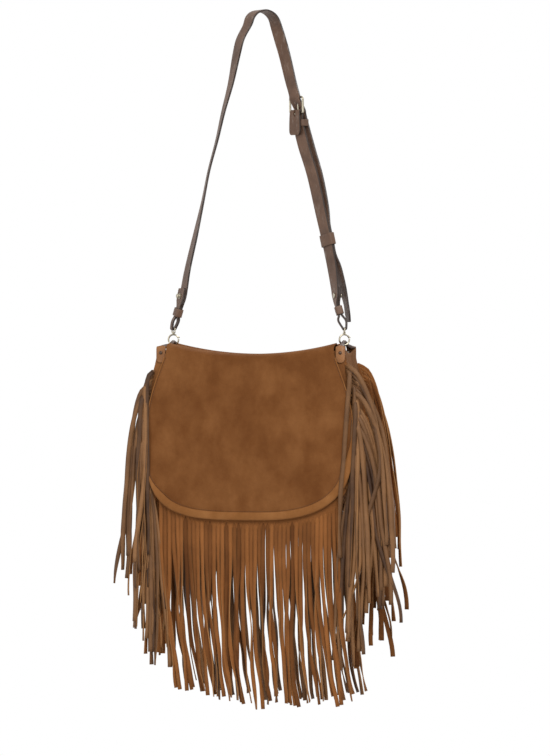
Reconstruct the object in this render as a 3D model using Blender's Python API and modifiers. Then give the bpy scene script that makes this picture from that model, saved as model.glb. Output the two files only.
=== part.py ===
# Fringed suede bag, hung by its strap
# Metres, +Z up, front towards -Y. The origin is under the crown of the strap, where a peg carries it.

import math

import bmesh
import bpy
import numpy as np
from mathutils import Matrix, Vector

MM = 0.001
GAP = 0.4 * MM                 # clearance between pieces that touch
MERGE = 0.001 * MM             # vertices this close are one

# The pouch: two U-shaped walls joined by a gusset
BAG_X = -8 * MM                # the pouch hangs a little to the left of the crown
BAG_TOP = -454.3 * MM          # at the mouth's corners
MOUTH_SAG = 14 * MM            # the mouth's edges hang lower in the middle
BAG_SHOULDER = -600 * MM       # below this the outline turns in
BAG_BOTTOM = -690 * MM
BAG_TOP_HALF = 130 * MM
BAG_HALF = 141 * MM
BAG_ROUNDNESS = 2.6            # exponent of the rounded bottom, 2 is an ellipse
WALL_Y = 30.8 * MM             # middle of the front and back walls
WALL = 1.4 * MM
PUFF = 7 * MM                  # how far the soft walls bulge in the middle
LINING = 0.6 * MM
LINING_INSET = 3.6 * MM
GUSSET_DIP = 9 * MM            # how far the gusset's mouth edge sags

# The flap, which comes from the back over the mouth
FLAP = 1.8 * MM
FLAP_Y = 36.6 * MM
FLAP_TOP = -449.5 * MM
FLAP_SAG = 12.5 * MM           # its top edge hangs lower in the middle
FLAP_BACK_EDGE = -512 * MM
FLAP_NECK_HALF = 116 * MM
FLAP_HALF = 142.5 * MM
FLAP_SHOULDER = -576 * MM
FLAP_BOTTOM = -684 * MM
FLAP_ROUNDNESS = {-1: 3.6, 1: 2.8}   # the left corner is squarer
FLAP_ROLL = 12 * MM            # radius of the roll over the mouth's edges
BINDING_WIDTH = 10.5 * MM
BINDING = 1.2 * MM

# The fringe
HEADER = 9 * MM                # uncut band that is sewn down along the seam
SLIT_DROP = 7 * MM             # the hem fringe stays uncut this far below the seam
HEM_HALF = 126 * MM            # half the hem fringe's width at the seam
HEM_SWEEP = 9 * MM             # how far the left strips swing to the right
HEM_SPREAD = 22 * MM           # how far the rightmost strip stands out at its end
STRIP_PITCH = 6.6 * MM
STRIP_SHARE = 0.87             # of the pitch is leather, the rest is the slit
FRINGE = 1.2 * MM
STRIP_LENGTH = 256 * MM
HEADER_OFF = 2.2 * MM          # middle of the header from the middle of the wall
SIDE_TOP = -474 * MM           # where the fringe starts down each side
SIDE_END = -640 * MM
SIDE_STRIPS = 20
SIDE_SPREAD = {-1: 24 * MM, 1: 46 * MM}
SIDE_FLARE = 12 * MM            # how much wider the strips hang at their ends
LANES = 10                     # layers in which the side strips hang
LANE_STEP = 1.65 * MM
SIDE_ROWS = (0, 0.035, 0.13, 0.27, 1)   # where a side strip bends, as shares of its length
LANE_RUN = 9 * MM              # a side strip is in its layer this far from the seam

# The straps
STRAP_HALF = 10 * MM
STRAP = 2.4 * MM
TONGUE_HALF = 3.2 * MM
KEPT_HALF = 4.6 * MM           # where a keeper holds the narrowed end
FOLD = STRAP + 2 * GAP         # from the middle of one layer to the middle of the next
BUCKLE_AT = (44.6 * MM, 13.5 * MM, -125.6 * MM)
BUCKLE_YAW = -56
BUCKLE_LENGTH = 21 * MM        # between the middles of its two cross bars
BUCKLE_HALF = 12.6 * MM
BUCKLE_WIRE = 1.5 * MM
BUCKLE_KEEPER_AT = (-1 * MM, 3.3 * MM, -24 * MM)   # across, outside and up from the buckle's middle
BUCKLE_KEEPER_HALF = (13.7 * MM, 10.7 * MM)   # half its width and depth, round all the layers
FOLDED_HALF = 9.2 * MM         # the strap is skived narrower where it folds round the bar
PRONG_WIRE = 1.1 * MM

# The snap hooks, one at each end of the strap
EYE_BAR_Z = -426.4 * MM
EYE_HALF = 5.1 * MM
EYE_DROP = 6.6 * MM            # from the top bar to the bottom bar
EYE_WIRE = 0.8 * MM
HOOK_X = {-1: -124 * MM, 1: 114 * MM}
LOOP_YAW = {-1: -40, 1: -20}
HOOK_TURN = {-1: 4, 1: 30}     # how far each hook is turned on its swivel
HOOK_DROP = 15.8 * MM          # from the eye's bar to the middle of the hook
HOOK_RADIUS = 6.9 * MM
HOOK_WIRE = 1.2 * MM
BOSS_RADIUS, BOSS_HEIGHT = 1.9 * MM, 2.2 * MM
STEM_RADIUS, NECK_RADIUS = 0.65 * MM, 1.7 * MM
HEAD_RADIUS, HEAD_HEIGHT = 1.3 * MM, 0.7 * MM
GATE_FROM, GATE_TO = 8, 60     # the part of the hook that opens, in degrees
GATE_GAP, GATE_END_GAP = 7, 5.5   # degrees between the gate and the hook's two ends
KNOB_RADIUS, KNOB_AT = 1.2 * MM, 23

TAB_X = 124.2 * MM               # bridge straps, either side of the middle
TAB_HALF = 6.4 * MM
TAB_NECK_HALF = 2.2 * MM
TAB = 2.0 * MM
TAB_PEAK = -445.4 * MM
TAB_FOOT = -473 * MM
RIVET_Z = -459.8 * MM
RIVET_SHANK, RIVET_HEAD = 0.9 * MM, 2.3 * MM

STUD_Z = {-1: -384 * MM, 1: -383 * MM}
STUD_FLANGE, STUD_SHANK, STUD_HEAD = 3.6 * MM, 1.5 * MM, 3.3 * MM
END_KEEPER_Z = {-1: -405.4 * MM, 1: -403 * MM}
SLIDING_KEEPER_Z = -308 * MM
KEEPER = 1.3 * MM              # thickness of a keeper's leather
KEEPER_ROOM = 1.0 * MM         # between a keeper and what it goes round
END_KEEPER_HEIGHT, SLIDING_KEEPER_HEIGHT, BUCKLE_KEEPER_HEIGHT = 11 * MM, 16 * MM, 9 * MM
TAIL_GAP = 3.1 * MM            # from the lower strap to the loose end, in the sliding keeper
TAIL_HOLE_Z = (-190 * MM, -215 * MM, -240 * MM, -265 * MM)
TAIL_HOLE = 1.7 * MM
PUNCH = 12 * MM                # length of a punch

SNAP_Z = -600 * MM
SNAP_RADIUS = 9 * MM

for old in list(bpy.data.objects):
    bpy.data.objects.remove(old, do_unlink=True)

PARTS = bpy.data.collections.new("fringed_suede_bag")
CUTTERS = bpy.data.collections.new("cutters")
for group in (PARTS, CUTTERS):
    bpy.context.scene.collection.children.link(group)


# Materials

def material(name, colour, roughness, metallic=0.0):
    made = bpy.data.materials.new(name)
    made.use_nodes = True
    shader = made.node_tree.nodes["Principled BSDF"]
    shader.inputs["Base Color"].default_value = (*colour, 1)
    shader.inputs["Roughness"].default_value = roughness
    shader.inputs["Metallic"].default_value = metallic
    return made


FINISH = {
    "suede": ((0.21, 0.075, 0.024), 0.95, 0.0),
    "binding": ((0.35, 0.14, 0.055), 0.8, 0.0),
    "fringe": ((0.25, 0.095, 0.03), 0.95, 0.0),
    "gusset": ((0.14, 0.062, 0.028), 0.85, 0.0),
    "strap_leather": ((0.18, 0.098, 0.061), 0.5, 0.0),
    "tab_leather": ((0.38, 0.17, 0.076), 0.6, 0.0),
    "lining_cloth": ((0.10, 0.075, 0.05), 0.9, 0.0),
    "pale_metal": ((0.62, 0.55, 0.42), 0.25, 1.0),
}


def finish(kind, name):
    """Each sub-part has a material of its own."""
    return material(f"{name}_{kind}", *FINISH[kind])


# Tools of the bench

def add(name, mesh, kind):
    made = bpy.data.objects.new(name, mesh)
    made.data.materials.append(finish(kind, name))
    PARTS.objects.link(made)
    return made


def solidify(piece, thickness):
    shell = piece.modifiers.new("thickness", "SOLIDIFY")
    shell.thickness = thickness
    shell.offset = 0
    return shell


def sheet(name, columns, rows, place, thickness, kind, slit=None):
    """An open grid put in place by place(column, row), with an even thickness.
    Faces for which slit(column, row) is true are cut away."""
    bm = bmesh.new()
    bmesh.ops.create_grid(bm, x_segments=columns, y_segments=rows, size=1)

    def cell(point, count, axis):
        return (point[axis] + 1) / 2 * count

    if slit:
        lost = [
            face for face in bm.faces
            if slit(int(cell(face.calc_center_median(), columns, 0)),
                    int(cell(face.calc_center_median(), rows, 1)))
        ]
        bmesh.ops.delete(bm, geom=lost, context="FACES")
    for vertex in bm.verts:
        vertex.co = place(round(cell(vertex.co, columns, 0)), round(cell(vertex.co, rows, 1)))
    mesh = bpy.data.meshes.new(name)
    bm.to_mesh(mesh)
    bm.free()
    mesh.shade_smooth()
    piece = add(name, mesh, kind)
    solidify(piece, thickness)
    return piece


def wire_mesh(name, points, radius, cyclic=False, sides=2):
    """A round wire along points, as a mesh with closed ends."""
    curve = bpy.data.curves.new(name, "CURVE")
    curve.dimensions = "3D"
    curve.bevel_depth = radius
    curve.bevel_resolution = sides
    curve.use_fill_caps = True
    spline = curve.splines.new("POLY")
    spline.points.add(len(points) - 1)
    for point, place in zip(spline.points, points):
        point.co = (*place, 1)
    spline.use_cyclic_u = cyclic
    guide = bpy.data.objects.new(name, curve)
    PARTS.objects.link(guide)
    bpy.context.view_layer.update()
    mesh = bpy.data.meshes.new_from_object(guide.evaluated_get(bpy.context.evaluated_depsgraph_get()))
    bpy.data.objects.remove(guide, do_unlink=True)
    bm = bmesh.new()
    bm.from_mesh(mesh)
    bmesh.ops.remove_doubles(bm, verts=bm.verts, dist=MERGE)
    bmesh.ops.recalc_face_normals(bm, faces=bm.faces)
    bm.to_mesh(mesh)
    bm.free()
    mesh.shade_smooth()
    return mesh


def turned(name, profile, kind, place, steps=20):
    """A piece turned on its Z axis from a profile of (radius, height), bottom to top."""
    mesh = bpy.data.meshes.new(name)
    top_to_bottom = [(radius, 0, height) for radius, height in reversed(profile)]
    edges = [(step, step + 1) for step in range(len(profile) - 1)]
    mesh.from_pydata(top_to_bottom, edges, [])
    piece = add(name, mesh, kind)
    lathe = piece.modifiers.new("lathe", "SCREW")
    lathe.steps = lathe.render_steps = steps
    lathe.use_merge_vertices = True
    lathe.merge_threshold = MERGE
    lathe.use_smooth_shade = False
    piece.matrix_world = place
    return piece


def band(name, half_width, half_depth, height, wall, kind, place):
    """A keeper: a flattened ring of leather, open along its local Z."""
    bm = bmesh.new()
    ring = bmesh.ops.create_circle(bm, segments=20, radius=1)["verts"]
    for vertex in ring:
        angle = math.atan2(vertex.co.y, vertex.co.x)
        across, through = math.cos(angle), math.sin(angle)
        vertex.co = (
            half_width * math.copysign(abs(across) ** 0.4, across),
            half_depth * math.copysign(abs(through) ** 0.4, through),
            -height / 2,
        )
    moved = bmesh.ops.extrude_edge_only(bm, edges=bm.edges[:])["geom"]
    upper = [part for part in moved if isinstance(part, bmesh.types.BMVert)]
    bmesh.ops.translate(bm, verts=upper, vec=(0, 0, height))
    bmesh.ops.recalc_face_normals(bm, faces=bm.faces)
    mesh = bpy.data.meshes.new(name)
    bm.to_mesh(mesh)
    bm.free()
    mesh.shade_smooth()
    piece = add(name, mesh, kind)
    solidify(piece, wall)
    piece.matrix_world = place
    return piece


def cutter(name, radius, depth, place, stretch=1.0):
    """A round or oval punch along its local Z."""
    bm = bmesh.new()
    bmesh.ops.create_cone(
        bm, cap_ends=True, segments=16, radius1=radius, radius2=radius, depth=depth,
    )
    bmesh.ops.scale(bm, vec=(1, stretch, 1), verts=bm.verts)
    mesh = bpy.data.meshes.new(name)
    bm.to_mesh(mesh)
    bm.free()
    tool = bpy.data.objects.new(name, mesh)
    tool.matrix_world = place
    tool.hide_render = True
    tool.display_type = "WIRE"
    CUTTERS.objects.link(tool)
    return tool


def combine(piece, tool, operation="DIFFERENCE"):
    step = piece.modifiers.new(tool.name, "BOOLEAN")
    step.operation = operation
    step.object = tool


def joined(name, meshes, kind):
    """Several closed meshes made one body by Boolean unions."""
    piece = add(name, meshes[0], kind)
    for number, mesh in enumerate(meshes[1:]):
        tool = bpy.data.objects.new(f"{name}_join_{number}", mesh)
        tool.hide_render = True
        tool.display_type = "WIRE"
        CUTTERS.objects.link(tool)
        combine(piece, tool, "UNION")
    return piece


def cylinder_mesh(name, radius, depth, place, segments=16):
    bm = bmesh.new()
    bmesh.ops.create_cone(
        bm, cap_ends=True, segments=segments, radius1=radius, radius2=radius, depth=depth,
        matrix=place,
    )
    mesh = bpy.data.meshes.new(name)
    bm.to_mesh(mesh)
    bm.free()
    return mesh


def frame_at(origin, across, along):
    """A placing matrix: local X across, local Z along, local Y through."""
    z = along.normalized()
    x = (across - across.dot(z) * z).normalized()
    y = z.cross(x)
    turn = Matrix((x, y, z)).transposed().to_4x4()
    return Matrix.Translation(origin) @ turn


def smooth_step(t):
    t = min(max(t, 0.0), 1.0)
    return t * t * (3 - 2 * t)


# Outlines of the pouch and the flap

def u_outline(half, shoulder, bottom, roundness, x):
    """Height of a U-shaped outline's lower edge at a distance x from its middle."""
    share = min(abs(x) / half, 1.0)
    return shoulder + (bottom - shoulder) * (1 - share**roundness) ** (1 / roundness)


def bag_half(z):
    """Half the width of the pouch's side, above its rounded bottom."""
    return BAG_TOP_HALF + (BAG_HALF - BAG_TOP_HALF) * smooth_step((BAG_TOP - z) / (60 * MM))


def bag_lower_edge(x):
    return u_outline(BAG_HALF, BAG_SHOULDER, BAG_BOTTOM, BAG_ROUNDNESS, x)


def puff(x, z):
    """How far the soft wall stands out at a point, nothing at its edges."""
    across = max(0.0, 1 - (x / BAG_HALF) ** 2)
    down = math.sin(math.pi * min(max((BAG_TOP - z) / (BAG_TOP - BAG_BOTTOM), 0.0), 1.0))
    return PUFF * across * down


def mouth(x):
    """Height of the mouth's edge at a distance x from the middle."""
    return BAG_TOP - MOUTH_SAG * (1 - (x / BAG_TOP_HALF) ** 2)


def wall_point(x, z, side, lift=0.0):
    """A point on the front (side -1) or back (side 1) wall, lifted outwards."""
    return Vector((BAG_X + x, side * (WALL_Y + puff(x, z) + lift), z))


def across_share(column, columns):
    """Columns crowd towards the two edges, where the outline turns."""
    return math.sin(math.pi / 2 * (2 * column / columns - 1))


def u_path(count):
    """Points (x, z, outward x, outward z) round the pouch's outline, from top left to top right."""
    dense = []
    for step in range(61):
        z = BAG_TOP + (BAG_SHOULDER - BAG_TOP) * step / 60
        dense.append((-bag_half(z), z))
    for step in range(1, 120):
        angle = math.pi * step / 120
        across = -math.copysign(abs(math.cos(angle)) ** (2 / BAG_ROUNDNESS), math.cos(angle))
        down = abs(math.sin(angle)) ** (2 / BAG_ROUNDNESS)
        dense.append((BAG_HALF * across, BAG_SHOULDER + (BAG_BOTTOM - BAG_SHOULDER) * down))
    dense += [(-x, z) for x, z in reversed(dense[:61])]
    points = np.array(dense)
    run = np.concatenate([[0], np.cumsum(np.linalg.norm(np.diff(points, axis=0), axis=1))])
    at = np.linspace(0, run[-1], count)
    x, z = np.interp(at, run, points[:, 0]), np.interp(at, run, points[:, 1])
    dx, dz = np.gradient(x), np.gradient(z)
    size = np.hypot(dx, dz)
    return [tuple(map(float, row)) for row in zip(x, z, dz / size, -dx / size)]


# The pouch

def wall(name, side, kind):
    columns, rows = 14, 6

    def place(column, row):
        share = across_share(column, columns)
        low = bag_lower_edge(share * BAG_HALF)
        high = mouth(share * BAG_TOP_HALF)
        z = high + (low - high) * row / rows
        return wall_point(share * bag_half(z), z, side)

    return sheet(name, columns, rows, place, WALL, kind)


def gusset():
    columns, rows = 32, 2
    path = u_path(columns + 1)
    reach = WALL_Y - WALL / 2 - GAP
    inset = WALL / 2

    def place(column, row):
        x, z, out_x, out_z = path[column]
        across = 2 * row / rows - 1
        mouth = max(0.0, 1 - min(column, columns - column) / 2)
        dip = GUSSET_DIP * mouth * (1 - across**2)
        return Vector((BAG_X + x - out_x * inset, across * reach, z - out_z * inset - dip))

    return sheet("gusset", columns, rows, place, WALL, "gusset")


def lining():
    """An open pouch inside the walls, one closed cloth shell."""
    around, rings = 20, 6
    top, deepest = BAG_TOP - 3 * MM, BAG_BOTTOM + 9 * MM
    bm = bmesh.new()
    loops = []
    for ring in range(rings):
        drop = math.sin(math.pi / 2 * ring / (rings - 1))
        z = top + (deepest - top) * drop
        if z > BAG_SHOULDER:
            half = bag_half(z)
        else:
            turn = (BAG_SHOULDER - z) / (BAG_SHOULDER - BAG_BOTTOM)
            half = BAG_HALF * (1 - turn**BAG_ROUNDNESS) ** (1 / BAG_ROUNDNESS)
        half -= LINING_INSET + (4 * MM if z < BAG_SHOULDER else 0)
        loop = []
        for step in range(around):
            angle = math.tau * step / around
            across, through = math.cos(angle), math.sin(angle)
            x = half * math.copysign(abs(across) ** 0.5, across)
            depth = WALL_Y + puff(x, z) * 0.9 - LINING_INSET
            y = depth * math.copysign(abs(through) ** 0.5, through)
            sag = MOUTH_SAG * max(0.0, 1 - (x / BAG_TOP_HALF) ** 2) if ring == 0 else 0.0
            loop.append(bm.verts.new((BAG_X + x, y, z - sag)))
        loops.append(loop)
    for upper, lower in zip(loops, loops[1:]):
        for step in range(around):
            after = (step + 1) % around
            bm.faces.new((upper[step], upper[after], lower[after], lower[step]))
    bm.faces.new(loops[-1])
    bmesh.ops.recalc_face_normals(bm, faces=bm.faces)
    mesh = bpy.data.meshes.new("lining")
    bm.to_mesh(mesh)
    bm.free()
    piece = add("lining", mesh, "lining_cloth")
    solidify(piece, LINING)
    return piece


# The flap

def flap_half(z):
    """Half the flap's width: a neck between the bridge straps, full width below."""
    return FLAP_NECK_HALF + (FLAP_HALF - FLAP_NECK_HALF) * smooth_step(
        (FLAP_TOP - FLAP_ROLL - z) / (92 * MM)
    ) ** 0.75


def flap_lower_edge(x):
    roundness = FLAP_ROUNDNESS[-1 if x < 0 else 1]
    return u_outline(FLAP_HALF, FLAP_SHOULDER, FLAP_BOTTOM, roundness, x)


def flap_crest(share):
    return FLAP_TOP - FLAP_SAG * (1 - share**2)


def flap_point(share, down):
    """A point on the front fall of the flap: share across, down from 0 at the roll to 1 at the hem."""
    start = flap_crest(share) - FLAP_ROLL
    low = flap_lower_edge(share * FLAP_HALF)
    z = start + (low - start) * down
    x = share * flap_half(z)
    return Vector((BAG_X + x, -FLAP_Y - puff(x, z), z))


def flap_back_point(share, down):
    start = flap_crest(share) - FLAP_ROLL
    z = start + (FLAP_BACK_EDGE - start) * down
    x = share * FLAP_NECK_HALF
    return Vector((BAG_X + x, FLAP_Y - 3 * MM + puff(x, z), z))


def flap():
    """From its seam on the back, up, over the mouth in two rolls, and down the front."""
    columns, back_rows, roll_rows, front_rows = 14, 2, 3, 8
    top_rows = 2 * roll_rows + 2
    rows = back_rows + top_rows + front_rows

    def place(column, row):
        share = across_share(column, columns)
        if row < back_rows:
            return flap_back_point(share, 1 - row / back_rows)
        row -= back_rows
        back, front = flap_back_point(share, 0), flap_point(share, 0)
        if row <= roll_rows:
            angle = math.pi / 2 * row / roll_rows
            return back + Vector((0, FLAP_ROLL * (math.cos(angle) - 1), FLAP_ROLL * math.sin(angle)))
        if row == roll_rows + 1:
            return Vector(((back.x + front.x) / 2, 0, back.z + FLAP_ROLL - 3 * MM))
        if row <= top_rows:
            angle = math.pi / 2 * (top_rows - row) / roll_rows
            return front + Vector((0, FLAP_ROLL * (1 - math.cos(angle)), FLAP_ROLL * math.sin(angle)))
        return flap_point(share, (row - top_rows) / front_rows)

    return sheet("flap", columns, rows, place, FLAP, "suede")


def flap_binding():
    """A light leather edge sewn along the flap's sides and round its hem."""
    side_rows, hem_columns = 6, 14
    lift = FLAP / 2 + BINDING / 2 + GAP
    edge = []
    for step in range(side_rows):
        edge.append((-1.0, 0.10 + 0.90 * step / side_rows))
    for step in range(hem_columns + 1):
        edge.append((across_share(step, hem_columns), 1.0))
    edge += [(1.0, down) for share, down in reversed(edge[:side_rows])]
    outer = [flap_point(share, down) for share, down in edge]
    middle = Vector((BAG_X, 0, (FLAP_TOP + FLAP_BOTTOM) / 2))

    def inward(index):
        before, after = outer[max(index - 1, 0)], outer[min(index + 1, len(outer) - 1)]
        along = (after - before).normalized()
        across = Vector((-along.z, 0, along.x))
        return across if across.dot(middle - outer[index]) > 0 else -across

    def place(column, row):
        point = outer[column] + inward(column) * (row / 2) * BINDING_WIDTH
        x = point.x - BAG_X
        return Vector((point.x, -FLAP_Y - puff(x, point.z) - lift, point.z))

    return sheet("flap_binding", len(edge) - 1, 2, place, BINDING, "binding")


# The fringe

def comb(name, strips, rows, place):
    """A leather comb: an uncut header of one row, then strips with slits between them."""
    columns = 2 * strips - 1

    def slit(column, row):
        return column % 2 == 1 and row >= 1

    return sheet(name, columns, rows + 1, place, FRINGE, "fringe", slit)


def hem_fringe(name, side):
    """Strips that hang from the rounded bottom, in the plane of the front or the back."""
    strips = int(2 * HEM_HALF / STRIP_PITCH)
    rows = 2

    def place(column, row):
        strip, edge = divmod(column, 2)
        x = -HEM_HALF + (strip + edge * STRIP_SHARE) * STRIP_PITCH
        seam = bag_lower_edge(x)
        if row == 0:
            return wall_point(x, seam + HEADER, side, HEADER_OFF)
        down = (row - 1) / rows
        share = strip / (strips - 1)
        swing = HEM_SWEEP * (1 - share) + HEM_SPREAD * share**3
        dip = 14 * MM * (1 - (2 * share - 1) ** 2)
        uneven = 3 * MM * math.sin(7 * strip)
        hang = STRIP_LENGTH - HEADER - SLIT_DROP - dip - uneven
        sway = 2.5 * MM * math.sin(strip * 1.3)
        return Vector((
            BAG_X + x + swing * down**1.5,
            side * (WALL_Y + HEADER_OFF + (2 * MM + sway) * down),
            seam - SLIT_DROP - hang * down,
        ))

    return comb(name, strips, rows, place)


def side_fringe(name, side, face):
    """Strips that leave the side seam outwards, bend down and hang in layers."""
    rows = len(SIDE_ROWS) - 1
    reach = SIDE_SPREAD[side]
    pitch = (SIDE_TOP - SIDE_END) / SIDE_STRIPS

    def place(column, row):
        strip, edge = divmod(column, 2)
        z = SIDE_TOP - (strip + edge * STRIP_SHARE) * pitch
        middle = SIDE_TOP - (strip + STRIP_SHARE / 2) * pitch
        half = bag_half(z) if z > BAG_SHOULDER else BAG_HALF * (
            1 - ((BAG_SHOULDER - z) / (BAG_SHOULDER - BAG_BOTTOM)) ** BAG_ROUNDNESS
        ) ** (1 / BAG_ROUNDNESS)
        if row == 0:
            return wall_point(side * (half - HEADER), z, face, HEADER_OFF)
        if row == 1:
            return wall_point(side * (half + 1 * MM), z, face, HEADER_OFF)
        radius = reach * (1 - 0.86 * strip / (SIDE_STRIPS - 1)) + 4 * MM
        middle_half = bag_half(middle) if middle > BAG_SHOULDER else half
        down = SIDE_ROWS[row - 1]
        run = STRIP_LENGTH * (1 - 0.10 * (strip % 3) / 2) * down
        bend = min(run / (radius * math.pi / 2), 1.0)
        angle = math.pi / 2 * bend
        straight = max(0.0, run - radius * math.pi / 2)
        flare = SIDE_FLARE * straight / STRIP_LENGTH
        centre_x = middle_half + 1 * MM + radius * math.sin(angle) + flare
        centre_z = middle - radius * (1 - math.cos(angle)) - straight
        offset = (0.5 - edge) * pitch * STRIP_SHARE
        lane = (strip % LANES) * LANE_STEP
        settle = min(run / LANE_RUN, 1.0)
        return Vector((
            BAG_X + side * (centre_x + offset * math.sin(angle)),
            face * (WALL_Y + HEADER_OFF - lane * settle),
            centre_z + offset * math.cos(angle),
        ))

    return comb(name, SIDE_STRIPS, rows, place)


# The bridge straps at the mouth's corners, which the hooks clip round

def bridge(name, side):
    """A leather strap from the front over the mouth's corner to the back, rolled narrow at its peak."""
    front_y = WALL_Y + WALL / 2 + GAP + TAB / 2 + 0.3 * MM
    route = [
        (-front_y, TAB_FOOT, 0.55), (-front_y, TAB_FOOT + 2.5 * MM, 0.9),
        (-front_y, TAB_FOOT + 6 * MM, 1.0), (-front_y, RIVET_Z + 2 * MM, 1.0),
        (-front_y + 0.6 * MM, -453.5 * MM, 0.95), (-front_y + 5 * MM, -448.2 * MM, 0.75),
        (-20 * MM, -446.0 * MM, 0.42), (-11 * MM, TAB_PEAK - 0.1 * MM, TAB_NECK_HALF / TAB_HALF),
    ]
    route += [(0, TAB_PEAK, TAB_NECK_HALF / TAB_HALF)] + [(-y, z, w) for y, z, w in reversed(route)]

    def place(column, row):
        y, z, width = route[row]
        foot = BAG_X + side * TAB_X
        drawn = smooth_step(1 - (abs(y) - 6 * MM) / (24 * MM))
        x = foot + (HOOK_X[side] - foot) * drawn
        return Vector((x + (column - 1) * TAB_HALF * width, y, z))

    return sheet(name, 2, len(route) - 1, place, TAB, "tab_leather")


def rivet(name, side, face):
    """A domed rivet through the bridge strap and the wall behind it."""
    wall_in = WALL_Y - WALL / 2
    outside = WALL_Y + WALL / 2 + 2 * GAP + TAB + 0.5 * MM
    x = side * TAB_X
    bulge = puff(x, RIVET_Z)
    inside = wall_in - 0.5 * MM
    profile = [
        (0, inside - 0.6 * MM), (RIVET_HEAD * 0.8, inside - 0.6 * MM), (RIVET_HEAD * 0.8, inside),
        (RIVET_SHANK, inside), (RIVET_SHANK, outside), (RIVET_HEAD, outside),
        (RIVET_HEAD * 0.85, outside + 0.6 * MM), (RIVET_HEAD * 0.45, outside + 1.0 * MM),
        (0, outside + 1.1 * MM),
    ]
    profile = [(radius, height + bulge) for radius, height in profile]
    place = frame_at(Vector((BAG_X + x, 0, RIVET_Z)), Vector((1, 0, 0)), Vector((0, face, 0)))
    return turned(name, profile, "pale_metal", place, steps=10)


# The straps' routes

# Middle line of the long strap from the left loop over the crown to the buckle: x, y, z in mm, and
# the yaw of the strap's width in degrees
LONG_ROUTE = [
    (-113.4, 0, -396.9, -40), (-108.3, -1, -372.6, -38), (-103.1, -2.5, -345.6, -34),
    (-92.1, -5, -302.4, -30), (-80.9, -7.5, -256.5, -22), (-71.3, -10, -213.3, -20),
    (-59.5, -12.5, -172.8, -22), (-49.9, -15, -135, -26), (-39, -17, -97.2, -33),
    (-30.7, -19, -59.4, -42), (-24.9, -20, -37.8, -45), (-15.4, -19.7, -20, -48),
    (-12.3, -15.8, -8.5, -51), (-7.4, -9.5, -1.5, -52), (0, 0, 1.5, -52), (7.4, 9.5, -1.5, -53),
    (12.3, 15.8, -8.5, -55), (15.4, 19.7, -20, -60), (20.8, 20, -37.8, -63), (27.2, 19, -59.4, -60),
    (35.5, 17, -91.8, -57),
]

# Middle line of the lower strap from below the buckle to the right loop
LOWER_ROUTE = [
    (48.2, 13.6, -156.6, -56), (55.5, 12, -183.6, -57), (67.8, 10.5, -221.4, -57),
    (79.9, 8, -272.7, -54), (88.3, 6, -307.8, -51), (95.7, 4, -342.9, -47), (100.1, 2, -371.3, -38),
    (102.2, 0.5, -394.2, -28),
]

# How far the loose end stands off the lower strap, at heights in mm
TAIL_OFFSETS = [
    (-156.6, 9.5), (-183.6, 10.5), (-221.4, 9.0), (-262, 7.5), (-288, 3.3), (-307.8, 3.1),
    (-327, 3.3), (-345, 8.0), (-371.3, 11.0), (-394.2, 13.5),
]


def width_vector(yaw):
    return Vector((math.sin(math.radians(yaw)), math.cos(math.radians(yaw)), 0))


def outward(yaw, side):
    """The strap's normal that faces away from the middle, on the left (-1) or the right (1)."""
    return side * Vector((math.cos(math.radians(yaw)), -math.sin(math.radians(yaw)), 0))


def scaled(route, half=STRAP_HALF):
    return [(Vector((x, y, z)) * MM, yaw, half) for x, y, z, yaw in route]


def tapered(run):
    """The run's first station narrowed to the tongue, with the shoulder just above it."""
    (low, yaw, _), (high, turn, half) = run[:2]
    shoulder = (low.lerp(high, 0.45), yaw + (turn - yaw) * 0.45, half)
    return [(low, yaw, KEPT_HALF + 1 * MM), shoulder] + run[1:]


def smoothed(stations, parts=2):
    """Catmull-Rom stations between the given (point, yaw, half width)."""
    rows = [[*point, yaw, half] for point, yaw, half in stations]
    table = np.array([rows[0], *rows, rows[-1]])
    out = []
    for index in range(1, len(table) - 2):
        p0, p1, p2, p3 = table[index - 1:index + 3]
        for step in range(parts):
            t = step / parts
            out.append(0.5 * (
                2 * p1 + (p2 - p0) * t + (2 * p0 - 5 * p1 + 4 * p2 - p3) * t**2
                + (3 * p1 - p0 - 3 * p2 + p3) * t**3
            ))
    out.append(table[-2])
    return [(Vector(row[:3]), row[3], row[4]) for row in out]


def ribbon(name, stations, kind="strap_leather"):
    def place(column, row):
        point, yaw, half = stations[row]
        return point + width_vector(yaw) * half * (2 * column - 1)

    return sheet(name, 1, len(stations) - 1, place, STRAP, kind)


def loop_round_eye(side, last, yaw, spread, back_to):
    """From the strap's last station down round the eye's bar and back up its outer side.
    The strap narrows to a tongue where it passes through the eye."""
    out = outward(yaw, side)
    bar = Vector((HOOK_X[side], 0, EYE_BAR_Z))
    round_bar = EYE_WIRE + GAP + STRAP / 2
    start = last + out * FOLD / 2

    def level(share, off, half):
        return start.lerp(bar, share) + out * off, yaw, half

    stations = [
        level(0.28, -FOLD / 2, KEPT_HALF), level(0.46, -FOLD * 0.6, 4 * MM),
        level(0.70, -spread, TONGUE_HALF), (bar - out * round_bar * 1.05, yaw, TONGUE_HALF),
    ]
    for degrees in (45, 90, 135):
        turn = math.radians(degrees)
        below = Vector((0, 0, -round_bar * math.sin(turn)))
        stations.append((bar - out * round_bar * math.cos(turn) + below, yaw, TONGUE_HALF))
    stations += [
        (bar + out * round_bar * 1.05, yaw, TONGUE_HALF), level(0.70, spread, TONGUE_HALF),
        level(0.46, FOLD * 0.6, 4 * MM), level(0.28, FOLD / 2, KEPT_HALF),
    ]
    return stations + [(point + outward(turn, side) * FOLD, turn, half) for point, turn, half in back_to]


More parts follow.
